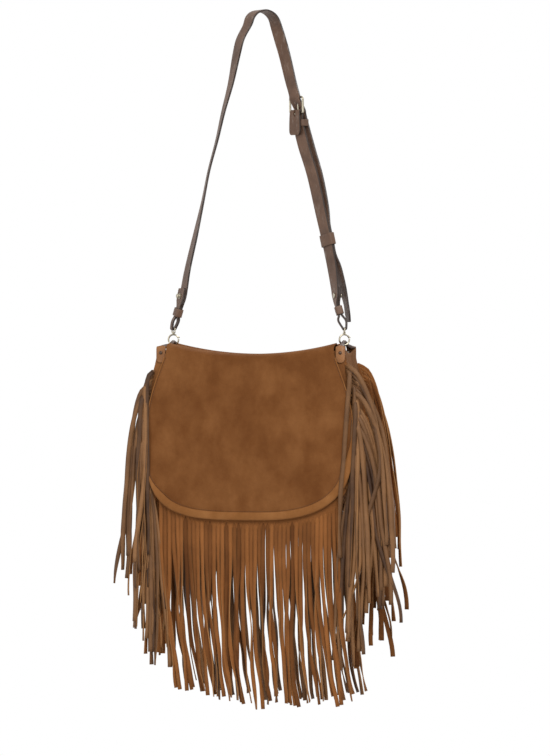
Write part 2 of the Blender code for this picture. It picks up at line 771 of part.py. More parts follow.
def buckle_frame_matrix():
    """Local X across the buckle, local Z up along the strap, local Y to the outside."""
    across = width_vector(BUCKLE_YAW)
    along = Vector((-0.10, 0.04, 0.99))
    along -= along.dot(across) * across
    place = frame_at(Vector(BUCKLE_AT), across, along)
    if (place.to_3x3() @ Vector((0, 1, 0))).dot(outward(BUCKLE_YAW, 1)) < 0:
        place = frame_at(Vector(BUCKLE_AT), -across, along)
    return place


BUCKLE = buckle_frame_matrix()


def in_buckle(outside, up):
    """A point in the buckle's middle plane, outside and up from its centre."""
    return BUCKLE @ Vector((0, outside, up))


def lower_line(z):
    """Middle and yaw of the lower strap at a height."""
    table = np.array(LOWER_ROUTE)[::-1]
    x, y, yaw = (float(np.interp(z / MM, table[:, 2], table[:, axis])) for axis in (0, 1, 3))
    return Vector((x * MM, y * MM, z)), yaw


def long_strap_route():
    """Loop on the left hook, over the crown, through the buckle and down as a loose end."""
    run = tapered(scaled(LONG_ROUTE))
    loop = loop_round_eye(-1, run[0][0], LOOP_YAW[-1], 4.0 * MM, run[:3])
    stations = loop[::-1] + run
    half_length = BUCKLE_LENGTH / 2
    for outside, up in ((-3.3, 3), (-2.6, -2.5), (2.4, -10.5), (6.6, -18), (7.8, -24)):
        stations.append((in_buckle(outside * MM, half_length + up * MM), BUCKLE_YAW, STRAP_HALF))
    for z, off in TAIL_OFFSETS:
        point, yaw = lower_line(z * MM)
        stations.append((point + outward(yaw, 1) * off * MM, yaw, STRAP_HALF))
    stations[-1] = (*stations[-1][:2], 6 * MM)
    return smoothed(stations)


def lower_strap_route():
    """Folded round the buckle's bar, down to the right loop and back up on its outer side."""
    half_length = BUCKLE_LENGTH / 2
    round_bar = BUCKLE_WIRE + GAP + STRAP / 2
    stations = [
        (in_buckle(-3.6 * MM, -half_length - 30 * MM), BUCKLE_YAW, 7 * MM),
        (in_buckle(-3.6 * MM, -half_length - 26 * MM), BUCKLE_YAW, STRAP_HALF),
        (in_buckle(-3.4 * MM, -half_length - 12 * MM), BUCKLE_YAW, STRAP_HALF),
    ]
    for angle in (10, 50, 90, 130, 170):
        turn = math.radians(angle)
        stations.append((
            in_buckle(-round_bar * math.cos(turn), round_bar * math.sin(turn) - half_length),
            BUCKLE_YAW, FOLDED_HALF,
        ))
    stations.append((in_buckle(0.9 * MM, -half_length - 11 * MM), BUCKLE_YAW, STRAP_HALF))
    run = tapered(scaled(LOWER_ROUTE[::-1]))[::-1]
    loop = loop_round_eye(1, run[-1][0], LOOP_YAW[1], 5.2 * MM, run[:-4:-1])
    return smoothed(stations + run + loop)


# The buckle

def through_buckle(up):
    """A punch's place: through the leather in the buckle, up from its middle."""
    return BUCKLE @ Matrix.Translation((0, 0, up)) @ Matrix.Rotation(math.radians(90), 4, "X")


def buckle_frame():
    """A rounded rectangle of round wire."""
    corner = 2.6 * MM
    points = []
    for quarter, (side, end) in enumerate(((1, 1), (-1, 1), (-1, -1), (1, -1))):
        for step in range(5):
            angle = math.pi / 2 * (quarter + step / 4)
            points.append(BUCKLE @ Vector((
                side * (BUCKLE_HALF - corner) + corner * math.cos(angle),
                0,
                end * (BUCKLE_LENGTH / 2 - corner) + corner * math.sin(angle),
            )))
    return add("buckle_frame", wire_mesh("buckle_frame", points, BUCKLE_WIRE, cyclic=True), "pale_metal")


def buckle_prong():
    """A wire tongue, curled round the frame's lower bar, its tip on the upper one."""
    half_length = BUCKLE_LENGTH / 2
    eye = BUCKLE_WIRE + 1.5 * GAP + PRONG_WIRE
    points = []
    for degrees in range(190, 361, 28):
        turn = math.radians(degrees)
        points.append((eye * math.cos(turn), eye * math.sin(turn) - half_length))
    points += [(eye, 1.5 * MM - half_length), (eye * 0.85, 0), (eye, half_length + 2.2 * MM)]
    in_place = [in_buckle(outside, up) for outside, up in points]
    return add("buckle_prong", wire_mesh("buckle_prong", in_place, PRONG_WIRE), "pale_metal")


# The snap hooks

def swivel_matrix(side):
    """Local X along the eye's bar, local Z up, at the middle of the bar."""
    return Matrix.Translation((HOOK_X[side], 0, EYE_BAR_Z)) @ Matrix.Rotation(
        math.radians(90 - LOOP_YAW[side]), 4, "Z"
    )


def eye(name, side):
    """A small slot-shaped eye with a drilled boss for the swivel."""
    place = swivel_matrix(side)
    corner = 1.9 * MM
    points = []
    for quarter, (across, end) in enumerate(((1, 1), (-1, 1), (-1, -1), (1, -1))):
        for step in range(4):
            angle = math.pi / 2 * (quarter + step / 3)
            points.append(place @ Vector((
                across * (EYE_HALF - corner) + corner * math.cos(angle),
                0,
                (end - 1) / 2 * EYE_DROP - end * corner + corner * math.sin(angle),
            )))
    ring = wire_mesh(name, points, EYE_WIRE, cyclic=True)
    boss = cylinder_mesh(
        name + "_boss", BOSS_RADIUS, BOSS_HEIGHT, place @ Matrix.Translation((0, 0, -EYE_DROP))
    )
    piece = joined(name, [ring, boss], "pale_metal")
    combine(piece, cutter(
        name + "_bore", STEM_RADIUS + GAP * 0.75, 3 * BOSS_HEIGHT,
        place @ Matrix.Translation((0, 0, -EYE_DROP)),
    ))
    return piece


def hook_matrix(side):
    """Local X across the hook, local Z up, at the middle of its ring."""
    return Matrix.Translation((HOOK_X[side], 0, EYE_BAR_Z - HOOK_DROP)) @ Matrix.Rotation(
        math.radians(HOOK_TURN[side]), 4, "Z"
    )


def hook_arc(place, first, last, steps):
    points = []
    for step in range(steps + 1):
        angle = math.radians(first + (last - first) * step / steps)
        points.append(place @ Vector((
            HOOK_RADIUS * math.cos(angle), 0, HOOK_RADIUS * math.sin(angle)
        )))
    return points


def hook(name, side):
    """A round hook with its mouth at the upper side, on a headed swivel stem."""
    place = hook_matrix(side)
    ring = wire_mesh(name, hook_arc(place, GATE_TO, 360 + GATE_FROM, 20), HOOK_WIRE)
    top = HOOK_DROP - EYE_DROP
    neck_top = top - BOSS_HEIGHT / 2 - GAP
    head_low = top + BOSS_HEIGHT / 2 + GAP
    parts = [
        ring,
        cylinder_mesh(
            name + "_neck", NECK_RADIUS, neck_top - HOOK_RADIUS,
            place @ Matrix.Translation((0, 0, (neck_top + HOOK_RADIUS) / 2)),
        ),
        cylinder_mesh(
            name + "_stem", STEM_RADIUS, head_low - neck_top + 1 * MM,
            place @ Matrix.Translation((0, 0, (head_low + neck_top) / 2)),
        ),
        cylinder_mesh(
            name + "_head", HEAD_RADIUS, HEAD_HEIGHT,
            place @ Matrix.Translation((0, 0, head_low + HEAD_HEIGHT / 2)),
        ),
    ]
    return joined(name, parts, "pale_metal")


def gate(name, side):
    """The sprung gate that closes the hook's mouth, with a small thumb knob."""
    place = hook_matrix(side)
    arc = wire_mesh(name, hook_arc(place, GATE_FROM + GATE_GAP, GATE_TO - GATE_END_GAP, 6), HOOK_WIRE)
    turn = math.radians(KNOB_AT)
    reach = HOOK_RADIUS + HOOK_WIRE
    at = place @ Vector((reach * math.cos(turn), 0, reach * math.sin(turn)))
    bm = bmesh.new()
    bmesh.ops.create_uvsphere(
        bm, u_segments=10, v_segments=6, radius=KNOB_RADIUS, matrix=Matrix.Translation(at),
    )
    knob = bpy.data.meshes.new(name + "_knob")
    bm.to_mesh(knob)
    bm.free()
    return joined(name, [arc, knob], "pale_metal")


# Fittings on the straps

def stud(name, station, side, layers_off):
    """A collar stud through both layers: a flange inside, a waist and a round head outside."""
    inner = -(STRAP / 2 + GAP)
    outer = layers_off + STRAP / 2 + GAP
    waist = STUD_HEAD * 0.53
    profile = [
        (0, inner - 0.9 * MM), (STUD_FLANGE, inner - 0.9 * MM), (STUD_FLANGE, inner),
        (STUD_SHANK, inner), (STUD_SHANK, outer), (STUD_FLANGE, outer),
        (STUD_FLANGE, outer + 0.7 * MM), (waist, outer + 0.9 * MM), (waist, outer + 1.5 * MM),
        (STUD_HEAD * 0.8, outer + 2.1 * MM), (STUD_HEAD, outer + 3.2 * MM),
        (STUD_HEAD * 0.8, outer + 4.3 * MM), (STUD_HEAD * 0.4, outer + 4.9 * MM),
        (0, outer + 5.1 * MM),
    ]
    point, yaw, along = station
    out = outward(yaw, side)
    out = (out - out.dot(along) * along).normalized()
    turned(name, profile, "pale_metal", frame_at(point, width_vector(yaw), out), steps=10)
    middle = frame_at(point + out * layers_off / 2, width_vector(yaw), out)
    return cutter(name + "_hole", STUD_SHANK + GAP, PUNCH, middle)


def line_on(stations, z):
    """Where a strap's middle line first passes a height: its place, yaw and direction."""
    for (before, yaw, _), (after, next_yaw, _) in zip(stations, stations[1:]):
        if (before.z - z) * (after.z - z) <= 0 and before.z != after.z:
            share = (z - before.z) / (after.z - before.z)
            return before.lerp(after, share), yaw + (next_yaw - yaw) * share, (after - before).normalized()
    raise ValueError("the strap doesn't reach that height")


def past_lowest(stations):
    """The part of the long strap after its lowest point, so without the loop's outer layer."""
    heights = [point.z for point, _, _ in stations]
    return stations[heights.index(min(heights)):]


def keeper_round(name, station, layers_off, side, half, height):
    """A leather keeper round a strap and the layer that lies layers_off outside it."""
    point, yaw, along = station
    if along.z < 0:
        along = -along
    centre = point + outward(yaw, side) * layers_off / 2
    reach = KEEPER_ROOM + KEEPER / 2
    return band(
        name, half + reach, layers_off / 2 + STRAP / 2 + reach, height, KEEPER, "strap_leather",
        frame_at(centre, width_vector(yaw), along),
    )


def snap_half(name, profile):
    place = frame_at(Vector((BAG_X, 0, SNAP_Z)), Vector((1, 0, 0)), Vector((0, -1, 0)))
    return turned(name, profile, "pale_metal", place)


def snap():
    """A hidden magnetic snap: a socket on the front wall, a post on the flap's inside."""
    bulge = puff(0, SNAP_Z)
    low = WALL_Y + bulge + WALL / 2 + GAP
    socket_top = low + 1.9 * MM
    high = FLAP_Y + bulge - FLAP / 2 - 2 * GAP
    post = 2.6 * MM
    snap_half("snap_socket", [
        (0, low), (SNAP_RADIUS, low), (SNAP_RADIUS, socket_top - 0.4 * MM),
        (SNAP_RADIUS - 0.5 * MM, socket_top), (post + GAP, socket_top),
        (post + GAP, socket_top - 1.1 * MM), (0, socket_top - 1.1 * MM),
    ])
    snap_half("snap_post", [
        (0, socket_top - 0.7 * MM), (post, socket_top - 0.7 * MM), (post, socket_top + 0.3 * MM),
        (SNAP_RADIUS - 0.5 * MM, socket_top + 0.3 * MM), (SNAP_RADIUS, socket_top + 0.7 * MM),
        (SNAP_RADIUS, high), (0, high),
    ])


# The bag

def pouch():
    walls = {-1: wall("front_panel", -1, "suede"), 1: wall("back_panel", 1, "suede")}
    gusset()
    lining()
    flap()
    flap_binding()
    snap()
    for side, word in ((-1, "left"), (1, "right")):
        strap = bridge(f"bridge_strap_{word}", side)
        for face, where in ((-1, "front"), (1, "back")):
            rivet(f"bridge_rivet_{word}_{where}", side, face)
            punch = cutter(
                f"rivet_hole_{word}_{where}", 1.4 * MM, 30 * MM,
                frame_at(
                    Vector((BAG_X + side * TAB_X, face * WALL_Y, RIVET_Z)), Vector((1, 0, 0)),
                    Vector((0, face, 0)),
                ),
            )
            combine(strap, punch)
            combine(walls[face], punch)


def fringes():
    for face, where in ((-1, "front"), (1, "back")):
        hem_fringe(f"{where}_fringe", face)
        for side, word in ((-1, "left"), (1, "right")):
            side_fringe(f"{word}_{where}_fringe", side, face)


def straps():
    long_route = long_strap_route()
    lower_route = lower_strap_route()
    long_strap = ribbon("long_strap", long_route)
    lower_strap = ribbon("lower_strap", lower_route)

    legs = {-1: ("left", past_lowest(long_route), long_strap), 1: ("right", lower_route, lower_strap)}
    for side, (word, leg, strap) in legs.items():
        combine(strap, stud(f"stud_{word}", line_on(leg, STUD_Z[side]), side, FOLD))
        keeper_round(
            f"end_keeper_{word}", line_on(leg, END_KEEPER_Z[side]), FOLD, side, KEPT_HALF,
            END_KEEPER_HEIGHT,
        )
    keeper_round(
        "sliding_keeper", line_on(lower_route, SLIDING_KEEPER_Z), TAIL_GAP, 1, STRAP_HALF,
        SLIDING_KEEPER_HEIGHT,
    )
    across, outside, up = BUCKLE_KEEPER_AT
    shift = Matrix.Translation(width_vector(BUCKLE_YAW) * across)
    band(
        "buckle_keeper", *BUCKLE_KEEPER_HALF, BUCKLE_KEEPER_HEIGHT, KEEPER, "strap_leather",
        shift @ BUCKLE @ Matrix.Translation((0, outside, up)),
    )

    buckle_frame()
    buckle_prong()
    combine(long_strap, cutter("prong_hole", 2.4 * MM, PUNCH, through_buckle(-1.2 * MM), 1.9))
    fold_at = through_buckle(1 * MM - BUCKLE_LENGTH / 2)
    combine(lower_strap, cutter("fold_slot", 2.0 * MM, PUNCH, fold_at, 3.4))
    tail = long_route[-len(long_route) // 3:]
    for number, z in enumerate(TAIL_HOLE_Z):
        point, yaw, along = line_on(tail, z)
        out = outward(yaw, 1)
        out = (out - out.dot(along) * along).normalized()
        place = frame_at(point, width_vector(yaw), out)
        combine(long_strap, cutter(f"tail_hole_{number}", TAIL_HOLE, PUNCH / 2, place))


def hooks():
    for side, word in ((-1, "left"), (1, "right")):
        eye(f"hook_eye_{word}", side)
        hook(f"snap_hook_{word}", side)
        gate(f"hook_gate_{word}", side)


pouch()
fringes()
straps()
hooks()
bpy.context.view_layer.update()
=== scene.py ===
# %% [markdown]
# A fringed suede shoulder bag, hung by the crown of its strap.
# The solids in the frame carry the sizes and the motion. These cells dress them: suede with a
# brushed nap, strips of fringe that curl and bunch, straps with painted edges and plated fittings.

import math

import bmesh
import bpy
import numpy as np
from mathutils import Matrix, Vector, noise


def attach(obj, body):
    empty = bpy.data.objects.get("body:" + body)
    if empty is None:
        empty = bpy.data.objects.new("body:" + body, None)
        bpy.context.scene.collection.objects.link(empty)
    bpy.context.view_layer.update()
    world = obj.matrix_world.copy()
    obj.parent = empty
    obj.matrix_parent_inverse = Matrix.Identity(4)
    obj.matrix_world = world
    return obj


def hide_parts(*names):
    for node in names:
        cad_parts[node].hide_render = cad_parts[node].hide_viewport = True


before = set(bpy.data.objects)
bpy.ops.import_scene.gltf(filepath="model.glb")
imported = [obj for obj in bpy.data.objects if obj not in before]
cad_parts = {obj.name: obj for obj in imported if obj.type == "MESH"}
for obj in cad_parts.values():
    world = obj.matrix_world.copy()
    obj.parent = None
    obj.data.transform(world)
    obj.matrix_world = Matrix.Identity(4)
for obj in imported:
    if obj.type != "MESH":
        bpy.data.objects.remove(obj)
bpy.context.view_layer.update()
MM = 0.001
ROOT = "bag"
SIDES = ((-1, "left"), (1, "right"))

# %% [markdown]
# The camera stands a little to the right of the bag's middle, at the height of the flap's top,
# far enough away that the straps stay nearly parallel. Its distance comes from the height that
# the picture shows and from the lens, so the bag fills the picture as it does in the reference.

# %% Camera
SHOWN_HEIGHT = 1.0206          # metres from the top of the picture to its bottom
LENS, SENSOR = 180, 36         # millimetres
CAMERA_YAW, CAMERA_TILT = 14, 0.6
LOOK_AT = Vector((0.0170, 0.0042, -0.494))


def place_camera():
    lens = bpy.data.cameras.new("camera")
    lens.lens = LENS
    lens.sensor_width = SENSOR
    camera = bpy.data.objects.new("camera", lens)
    bpy.context.scene.collection.objects.link(camera)
    yaw, tilt = math.radians(CAMERA_YAW), math.radians(CAMERA_TILT)
    back = Vector((math.sin(yaw) * math.cos(tilt), -math.cos(yaw) * math.cos(tilt), math.sin(tilt)))
    distance = SHOWN_HEIGHT * LENS / SENSOR
    camera.location = LOOK_AT + back * distance
    camera.rotation_euler = back.to_track_quat("Z", "Y").to_euler()
    bpy.context.scene.camera = camera
    print(f"camera {distance:.2f} m from the bag")


place_camera()

# %% [markdown]
# Node maths reads best as arithmetic. A Signal wraps one socket of a node tree, and adding or
# multiplying signals adds Math nodes. A Tree makes every other node through one method, for
# materials and for geometry alike.

# %% Signals and trees
class Signal:
    """A socket whose value can be used in Python arithmetic."""

    def __init__(self, tree, socket):
        self.tree = tree
        self.socket = socket

    def math(self, operation, *others):
        inputs = dict(enumerate((self, *others)))
        return self.tree.node("ShaderNodeMath", inputs, operation=operation)

    def __add__(self, other):
        return self.math("ADD", other)

    def __sub__(self, other):
        return self.math("SUBTRACT", other)

    def __mul__(self, other):
        return self.math("MULTIPLY", other)

    def __pow__(self, other):
        return self.math("POWER", other)

    def clamped(self):
        return self.math("MAXIMUM", 0.0).math("MINIMUM", 1.0)

    def between(self, low, high):
        """0 below low, 1 above high and smooth in between."""
        inputs = {"Value": self, "From Min": low, "From Max": high}
        return self.tree.node("ShaderNodeMapRange", inputs, interpolation_type="SMOOTHSTEP")


class Tree:
    """Adds nodes to a node tree. The result is the node's first output as a Signal."""

    def __init__(self, tree):
        self.tree = tree

    def add(self, kind, inputs=None, **settings):
        made = self.tree.nodes.new(kind)
        for name, value in settings.items():
            setattr(made, name, value)
        for key, value in (inputs or {}).items():
            socket = made.inputs[key]
            if isinstance(value, Signal):
                self.tree.links.new(value.socket, socket)
            else:
                socket.default_value = value
        return made

    def node(self, kind, inputs=None, output=0, **settings):
        return Signal(self, self.add(kind, inputs, **settings).outputs[output])

    def mix(self, share, first, second):
        """A colour between two colours."""
        inputs = {0: share, 6: first, 7: second}
        return self.node("ShaderNodeMix", inputs, output=2, data_type="RGBA")

    def noise(self, where, scale, detail=3.0, roughness=0.55):
        inputs = {"Vector": where, "Scale": scale, "Detail": detail, "Roughness": roughness}
        return self.node("ShaderNodeTexNoise", inputs)

    def vector(self, **parts):
        return self.node("ShaderNodeCombineXYZ", parts)

    def stretched(self, where, scale):
        return self.node("ShaderNodeMapping", {"Vector": where, "Scale": scale})


def srgb(red, green, blue):
    """A colour given as 0 to 255 on a screen, as the linear colour that a shader takes."""
    def linear(value):
        value /= 255
        return value / 12.92 if value <= 0.04045 else ((value + 0.055) / 1.055) ** 2.4

    return (linear(red), linear(green), linear(blue), 1.0)


print("a suede brown is", [round(value, 3) for value in srgb(126, 78, 42)])

# %% [markdown]
# Every finish starts from the Principled shader. This helper makes the material and its tree,
# sets what is the same all over on the shader's own sockets, and links what varies.

# %% A finish
BLACK = (0.0, 0.0, 0.0, 1.0)


def finish(name, colour, roughness, bump=None, bump_depth=0.0002, constants=None):
    """colour, roughness and bump are called with the tree and the place on the object."""
    made = bpy.data.materials.new(name)
    made.use_nodes = True
    shader = made.node_tree.nodes["Principled BSDF"]
    for socket, value in (constants or {}).items():
        shader.inputs[socket].default_value = value
    tree = Tree(made.node_tree)
    where = tree.node("ShaderNodeTexCoord", output="Object")
    for socket, value in (("Base Color", colour(tree, where)), ("Roughness", roughness(tree, where))):
        if isinstance(value, Signal):
            made.node_tree.links.new(value.socket, shader.inputs[socket])
        else:
            shader.inputs[socket].default_value = value
    if bump:
        height = {"Height": bump(tree, where), "Strength": 1.0, "Distance": bump_depth}
        normal = tree.node("ShaderNodeBump", height)
        made.node_tree.links.new(normal.socket, shader.inputs["Normal"])
    print("finish:", name)
    return made


def blend(scale, dark, light):
    """A colour that wanders between two others, about scale times to a metre."""
    return lambda tree, where: tree.mix(tree.noise(where, scale), srgb(*dark), srgb(*light))


# %% [markdown]
# Suede is the sanded inner side of a hide. Its nap lies in patches where a hand has brushed it:
# broad cloudy areas, softer strokes that run down the panel, and a grain of about a millimetre.
# It has no shine, only a faint light rim from the standing fibres, which the sheen gives.

# %% Suede
SUEDE_CONSTANTS = {
    "Specular IOR Level": 0.1, "Sheen Weight": 0.12, "Sheen Roughness": 0.6,
    "Sheen Tint": srgb(214, 160, 110),
}
STROKES, RUBBED, FLECK, FINE = (38.0, 38.0, 24.0), 4.3, 210.0, 750.0     # marks to a metre
GRAIN = 0.35                                                             # its contrast


def suede(name, *browns, patches=11.0):
    """A brushed nap between three browns from dark to light, with so many patches to a metre."""
    dark, middle, light = (srgb(*brown) for brown in browns)

    def colour(tree, where):
        clouds = tree.noise(where, patches, 4.0, 0.6).between(0.3, 0.7)
        strokes = tree.noise(tree.stretched(where, STROKES), 1.0).between(0.25, 0.75)
        rubbed = tree.noise(where, RUBBED, 2.0).between(0.56, 0.8)
        fine, fleck = tree.noise(where, FINE, 2.0, 0.7), tree.noise(where, FLECK, 3.0, 0.6)
        body = tree.mix(clouds * 0.55 + strokes * 0.45, dark, middle)
        body = tree.mix((rubbed * 0.5 + strokes * clouds * 0.6).clamped(), body, light)
        grained = ((fine - 0.5) * GRAIN + (fleck - 0.5) * GRAIN * 0.9 + 0.5).clamped()
        return tree.mix(grained, tree.mix(0.42, body, BLACK), tree.mix(0.16, body, light))

    def roughness(tree, where):
        return tree.noise(where, 60.0, 2.0) * 0.1 + 0.86

    def bump(tree, where):
        return tree.noise(where, 900.0, 2.0, 0.7) * 0.6 + tree.noise(where, 170.0) * 0.8

    return finish(name, colour, roughness, bump, 0.0005, SUEDE_CONSTANTS)


SUEDE = suede("flap_suede", (106, 60, 26), (130, 79, 39), (156, 105, 62))
WALL_SUEDE = suede("wall_suede", (126, 77, 40), (148, 94, 52), (166, 114, 70))
BINDING_SUEDE = suede("binding_suede", (138, 87, 44), (158, 103, 56), (174, 120, 72), patches=24.0)
GUSSET_SUEDE = suede("gusset_suede", (98, 62, 36), (120, 78, 46), (138, 94, 58), patches=18.0)

# %% [markdown]
# The fringe is cut from the same hide. Its strips are suede on one side and smooth skin on the
# other, and each strip comes from another place of the hide, so each has its own brown. The cut
# strips carry two attributes, strip and along, that this finish reads. Where the knife went
# through, the raw edge of a strip is paler than both sides, and this pale edge also stands in for
# the thin highlights along the strips: painted highlight. Long dark streaks down the strips are
# painted shade between them.

# %% Fringe finishes
SHADE_STREAKS = (420.0, 420.0, 26.0)       # to a metre: painted shade streaks, narrow across a strip and long down it


def strip_finish(name, *browns, rough=0.84, constants=SUEDE_CONSTANTS):
    """The browns are the darkest strip's, the lightest strip's and the painted shade's."""
    dark, light, shade = (srgb(*brown) for brown in browns)

    def colour(tree, where):
        strip = tree.node("ShaderNodeAttribute", output="Fac", attribute_name="strip")
        along = tree.node("ShaderNodeAttribute", output="Fac", attribute_name="along")
        cloud = tree.noise(where, 26.0).between(0.25, 0.75)
        body = tree.mix((strip * 0.9 + cloud * 0.3 - 0.1).clamped(), dark, light)
        # painted shade: long narrow streaks pulled towards the shade brown, for the shade between strips
        shade_streaks = tree.noise(tree.stretched(where, SHADE_STREAKS), 1.0)
        body = tree.mix((shade_streaks - 0.5).clamped() * 0.6, body, shade)
        worn = tree.noise(where, 640.0, 2.0).between(0.35, 0.75) * 0.22
        body = tree.mix(worn, body, tree.mix(0.5, body, BLACK))
        # the last tenth of each strip is pulled a little towards the same dark brown
        return tree.mix(along.between(0.9, 1.0) * 0.15, body, shade)

    def roughness(tree, where):
        return tree.noise(where, 90.0, 2.0) * 0.14 + rough

    def bump(tree, where):
        long_grain = tree.noise(tree.stretched(where, (900.0, 900.0, 120.0)), 1.0)
        return long_grain + tree.noise(where, 1100.0, 2.0) * 0.5

    return finish(name, colour, roughness, bump, 0.0003, constants)


FRINGE_SUEDE = strip_finish("fringe_suede", (92, 54, 27), (154, 98, 53), (70, 41, 22))
FRINGE_SKIN = strip_finish(
    "fringe_skin", (60, 37, 21), (150, 106, 66), (56, 38, 26), rough=0.5,
    constants={"Specular IOR Level": 0.3},
)
# Pale cut edges, which also stand in for the thin highlights along the strips: partly painted highlight.
FRINGE_EDGE_AND_HIGHLIGHT = strip_finish("fringe_edge_and_highlight", (124, 86, 52), (174, 128, 84), (98, 66, 40))

# %% [markdown]
# The straps are cut from smooth vegetable tanned leather with a fine pore grain, and their cut
# edges are sealed with dark paint. The bridge straps at the corners are a lighter, drier leather,
# painted dark where they are rolled: painted shade of the roll, with the dark of its edge paint.

# %% Strap leather
PORES, SCUFFS = 1500.0, (160.0, 160.0, 60.0)     # to a metre
SCUFFED = (1.0, 0.9, 0.8, 1.0)                   # what a scuff turns the leather towards


def leather(name, dark, light, rough):
    dark, light = srgb(*dark), srgb(*light)

    def colour(tree, where):
        patches = tree.noise(where, 34.0, 4.0, 0.6).between(0.3, 0.7)
        scuffs = tree.noise(tree.stretched(where, SCUFFS), 1.0, 4.0).between(0.55, 0.85)
        body = tree.mix(patches, dark, light)
        return tree.mix(scuffs * 0.4, body, tree.mix(0.5, light, SCUFFED))

    def roughness(tree, where):
        return tree.noise(where, 55.0) * 0.2 + rough

    def bump(tree, where):
        cells = tree.node("ShaderNodeTexVoronoi", {"Vector": where, "Scale": PORES})
        return cells.between(0.0, 0.6) * 0.7 + tree.noise(where, 260.0) * 0.6

    return finish(name, colour, roughness, bump, 0.00012, {"Specular IOR Level": 0.4})


STRAP_LEATHER = leather("strap_leather", (86, 62, 47), (108, 80, 62), 0.42)
EDGE_PAINT = leather("edge_paint", (42, 32, 27), (56, 43, 36), 0.36)
BRIDGE_LEATHER = leather("bridge_leather", (134, 88, 50), (156, 106, 64), 0.6)
# The roll's dark brown: painted shade, with the dark of its edge paint.
ROLL_EDGE_PAINT_AND_SHADE = leather("roll_edge_paint_and_shade", (66, 46, 36), (88, 62, 46), 0.45)

# %% [markdown]
# Thread, lining cloth and plated metal. The cloth's weave is two crossed waves a millimetre
# apart. The metal is a pale plate between gold and nickel, a little dulled by handling, so its
# roughness wanders and fine scratches cross it. The rivets have worn down to a dark bronze.

# %% Thread, cloth and metal
WEAVE, SCRATCHES = 320.0, (1400.0, 300.0, 1400.0)
THREAD = finish("thread", blend(900.0, (92, 60, 36), (128, 86, 54)), lambda tree, where: 0.8)
CLOTH_BODY = blend(12.0, (88, 74, 60), (112, 96, 78))


def weave(tree, where):
    inputs = {"Vector": where, "Scale": WEAVE}
    across, down = (tree.node("ShaderNodeTexWave", inputs, bands_direction=way) for way in "XZ")
    return across * 0.5 + down * 0.5


def cloth_colour(tree, where):
    return tree.mix(weave(tree, where) * 0.35, CLOTH_BODY(tree, where), srgb(70, 58, 46))


LINING_CLOTH = finish("lining_cloth", cloth_colour, lambda tree, where: 0.9, weave)


def plate(name, scale, dark, light, metallic):
    def roughness(tree, where):
        scratches = tree.noise(tree.stretched(where, SCRATCHES), 1.0, 4.0).between(0.55, 0.75)
        return tree.noise(where, 220.0, 2.0) * 0.12 + scratches * 0.12 + 0.14

    return finish(name, blend(scale, dark, light), roughness, constants={"Metallic": metallic})


PALE_METAL = plate("pale_metal", 90.0, (150, 142, 124), (196, 188, 168), 1.0)
DULL_METAL = plate("dull_metal", 400.0, (58, 42, 32), (92, 70, 54), 0.6)

# %% [markdown]
# These helpers make and finish meshes. A sheet of leather is an open grid put in place by a
# formula and given its thickness by Solidify, whose inner side and rim can take finishes of
# their own. Every finished piece is one plain mesh at the origin.

# %% Helpers for pieces
MERGED = 1e-6        # vertices closer than this are one


class Editing:
    """A mesh opened for editing in a with block, at whose end it is written back."""

    def __init__(self, mesh):
        self.mesh = mesh
        self.opened = bmesh.new()
        self.opened.from_mesh(mesh)

    def __enter__(self):
        return self.opened

    def __exit__(self, *_):
        self.opened.to_mesh(self.mesh)
        self.opened.free()


def new_object(name, mesh, *materials):
    made = bpy.data.objects.new(name, mesh)
    bpy.context.scene.collection.objects.link(made)
    for material in materials:
        made.data.materials.append(material)
    return made


def settled(piece):
    """The piece with its modifiers worked into a plain mesh."""
    bpy.context.view_layer.update()
    graph = bpy.context.evaluated_depsgraph_get()
    mesh = bpy.data.meshes.new_from_object(
        piece.evaluated_get(graph), preserve_all_data_layers=True, depsgraph=graph,
    )
    piece.modifiers.clear()
    piece.data = mesh
    return piece


def thicken(piece, thickness, inner=0, rim=0, offset=0.0):
    shell = piece.modifiers.new("thickness", "SOLIDIFY")
    shell.thickness = thickness
    shell.offset = offset
    shell.material_offset = inner
    shell.material_offset_rim = rim
    return piece


def soften(piece, width, segments=2):
    bevel = piece.modifiers.new("soft_edge", "BEVEL")
    bevel.width = width
    bevel.segments = segments
    bevel.limit_method = "ANGLE"
    bevel.angle_limit = math.radians(50)
    return piece


def grid(name, columns, rows, place, *materials, closed=False):
    """A sheet of columns by rows cells, put in place by place(u, v) with u and v from 0 to 1.

    A closed sheet is joined to itself where its first and last column meet."""
    mesh = bpy.data.meshes.new(name)
    with Editing(mesh) as bm:
        points = [
            [bm.verts.new(place(column / columns, row / rows)) for row in range(rows + 1)]
            for column in range(columns + 1)
        ]
        for left, right in zip(points, points[1:]):
            for step in range(rows):
                bm.faces.new((left[step], left[step + 1], right[step + 1], right[step]))
        if closed:
            bmesh.ops.remove_doubles(bm, verts=bm.verts, dist=MERGED)
            bmesh.ops.recalc_face_normals(bm, faces=bm.faces)
    mesh.shade_smooth()
    return new_object(name, mesh, *materials)


def seat(piece, body=ROOT, replaced=()):
    """Puts a finished piece on its body and hides the solids it stands for."""
    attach(piece, body)
    if replaced:
        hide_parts(*replaced)
    print(f"{piece.name}: {len(piece.data.polygons)} faces")
    return piece


def wobble(x, y, z, scale, seed=0.0):
    """Smooth noise from -1 to 1, with features of 1/scale metres."""
    return noise.noise(Vector((x * scale + seed, y * scale - seed, z * scale)))


def smooth_step(t):
    t = min(max(t, 0.0), 1.0)
    return t * t * (3 - 2 * t)


def squared(value, power):
    """A sine or cosine pushed outwards, which turns a circle into a rounded square."""
    return math.copysign(abs(value) ** power, value)


def evenly(points, count):
    """The columns of a line's points, spaced evenly, and the line's length."""
    points = np.array(points)
    run = np.concatenate([[0], np.cumsum(np.linalg.norm(np.diff(points, axis=0), axis=1))])
    even = np.linspace(0, run[-1], count)
    return [np.interp(even, run, column) for column in points.T], run[-1]


# %% [markdown]
# The pouch's outline is the one the solids have: sides that widen below the mouth and a rounded
# bottom. The walls bulge in the middle, as an empty soft bag does with its stuffing paper in.

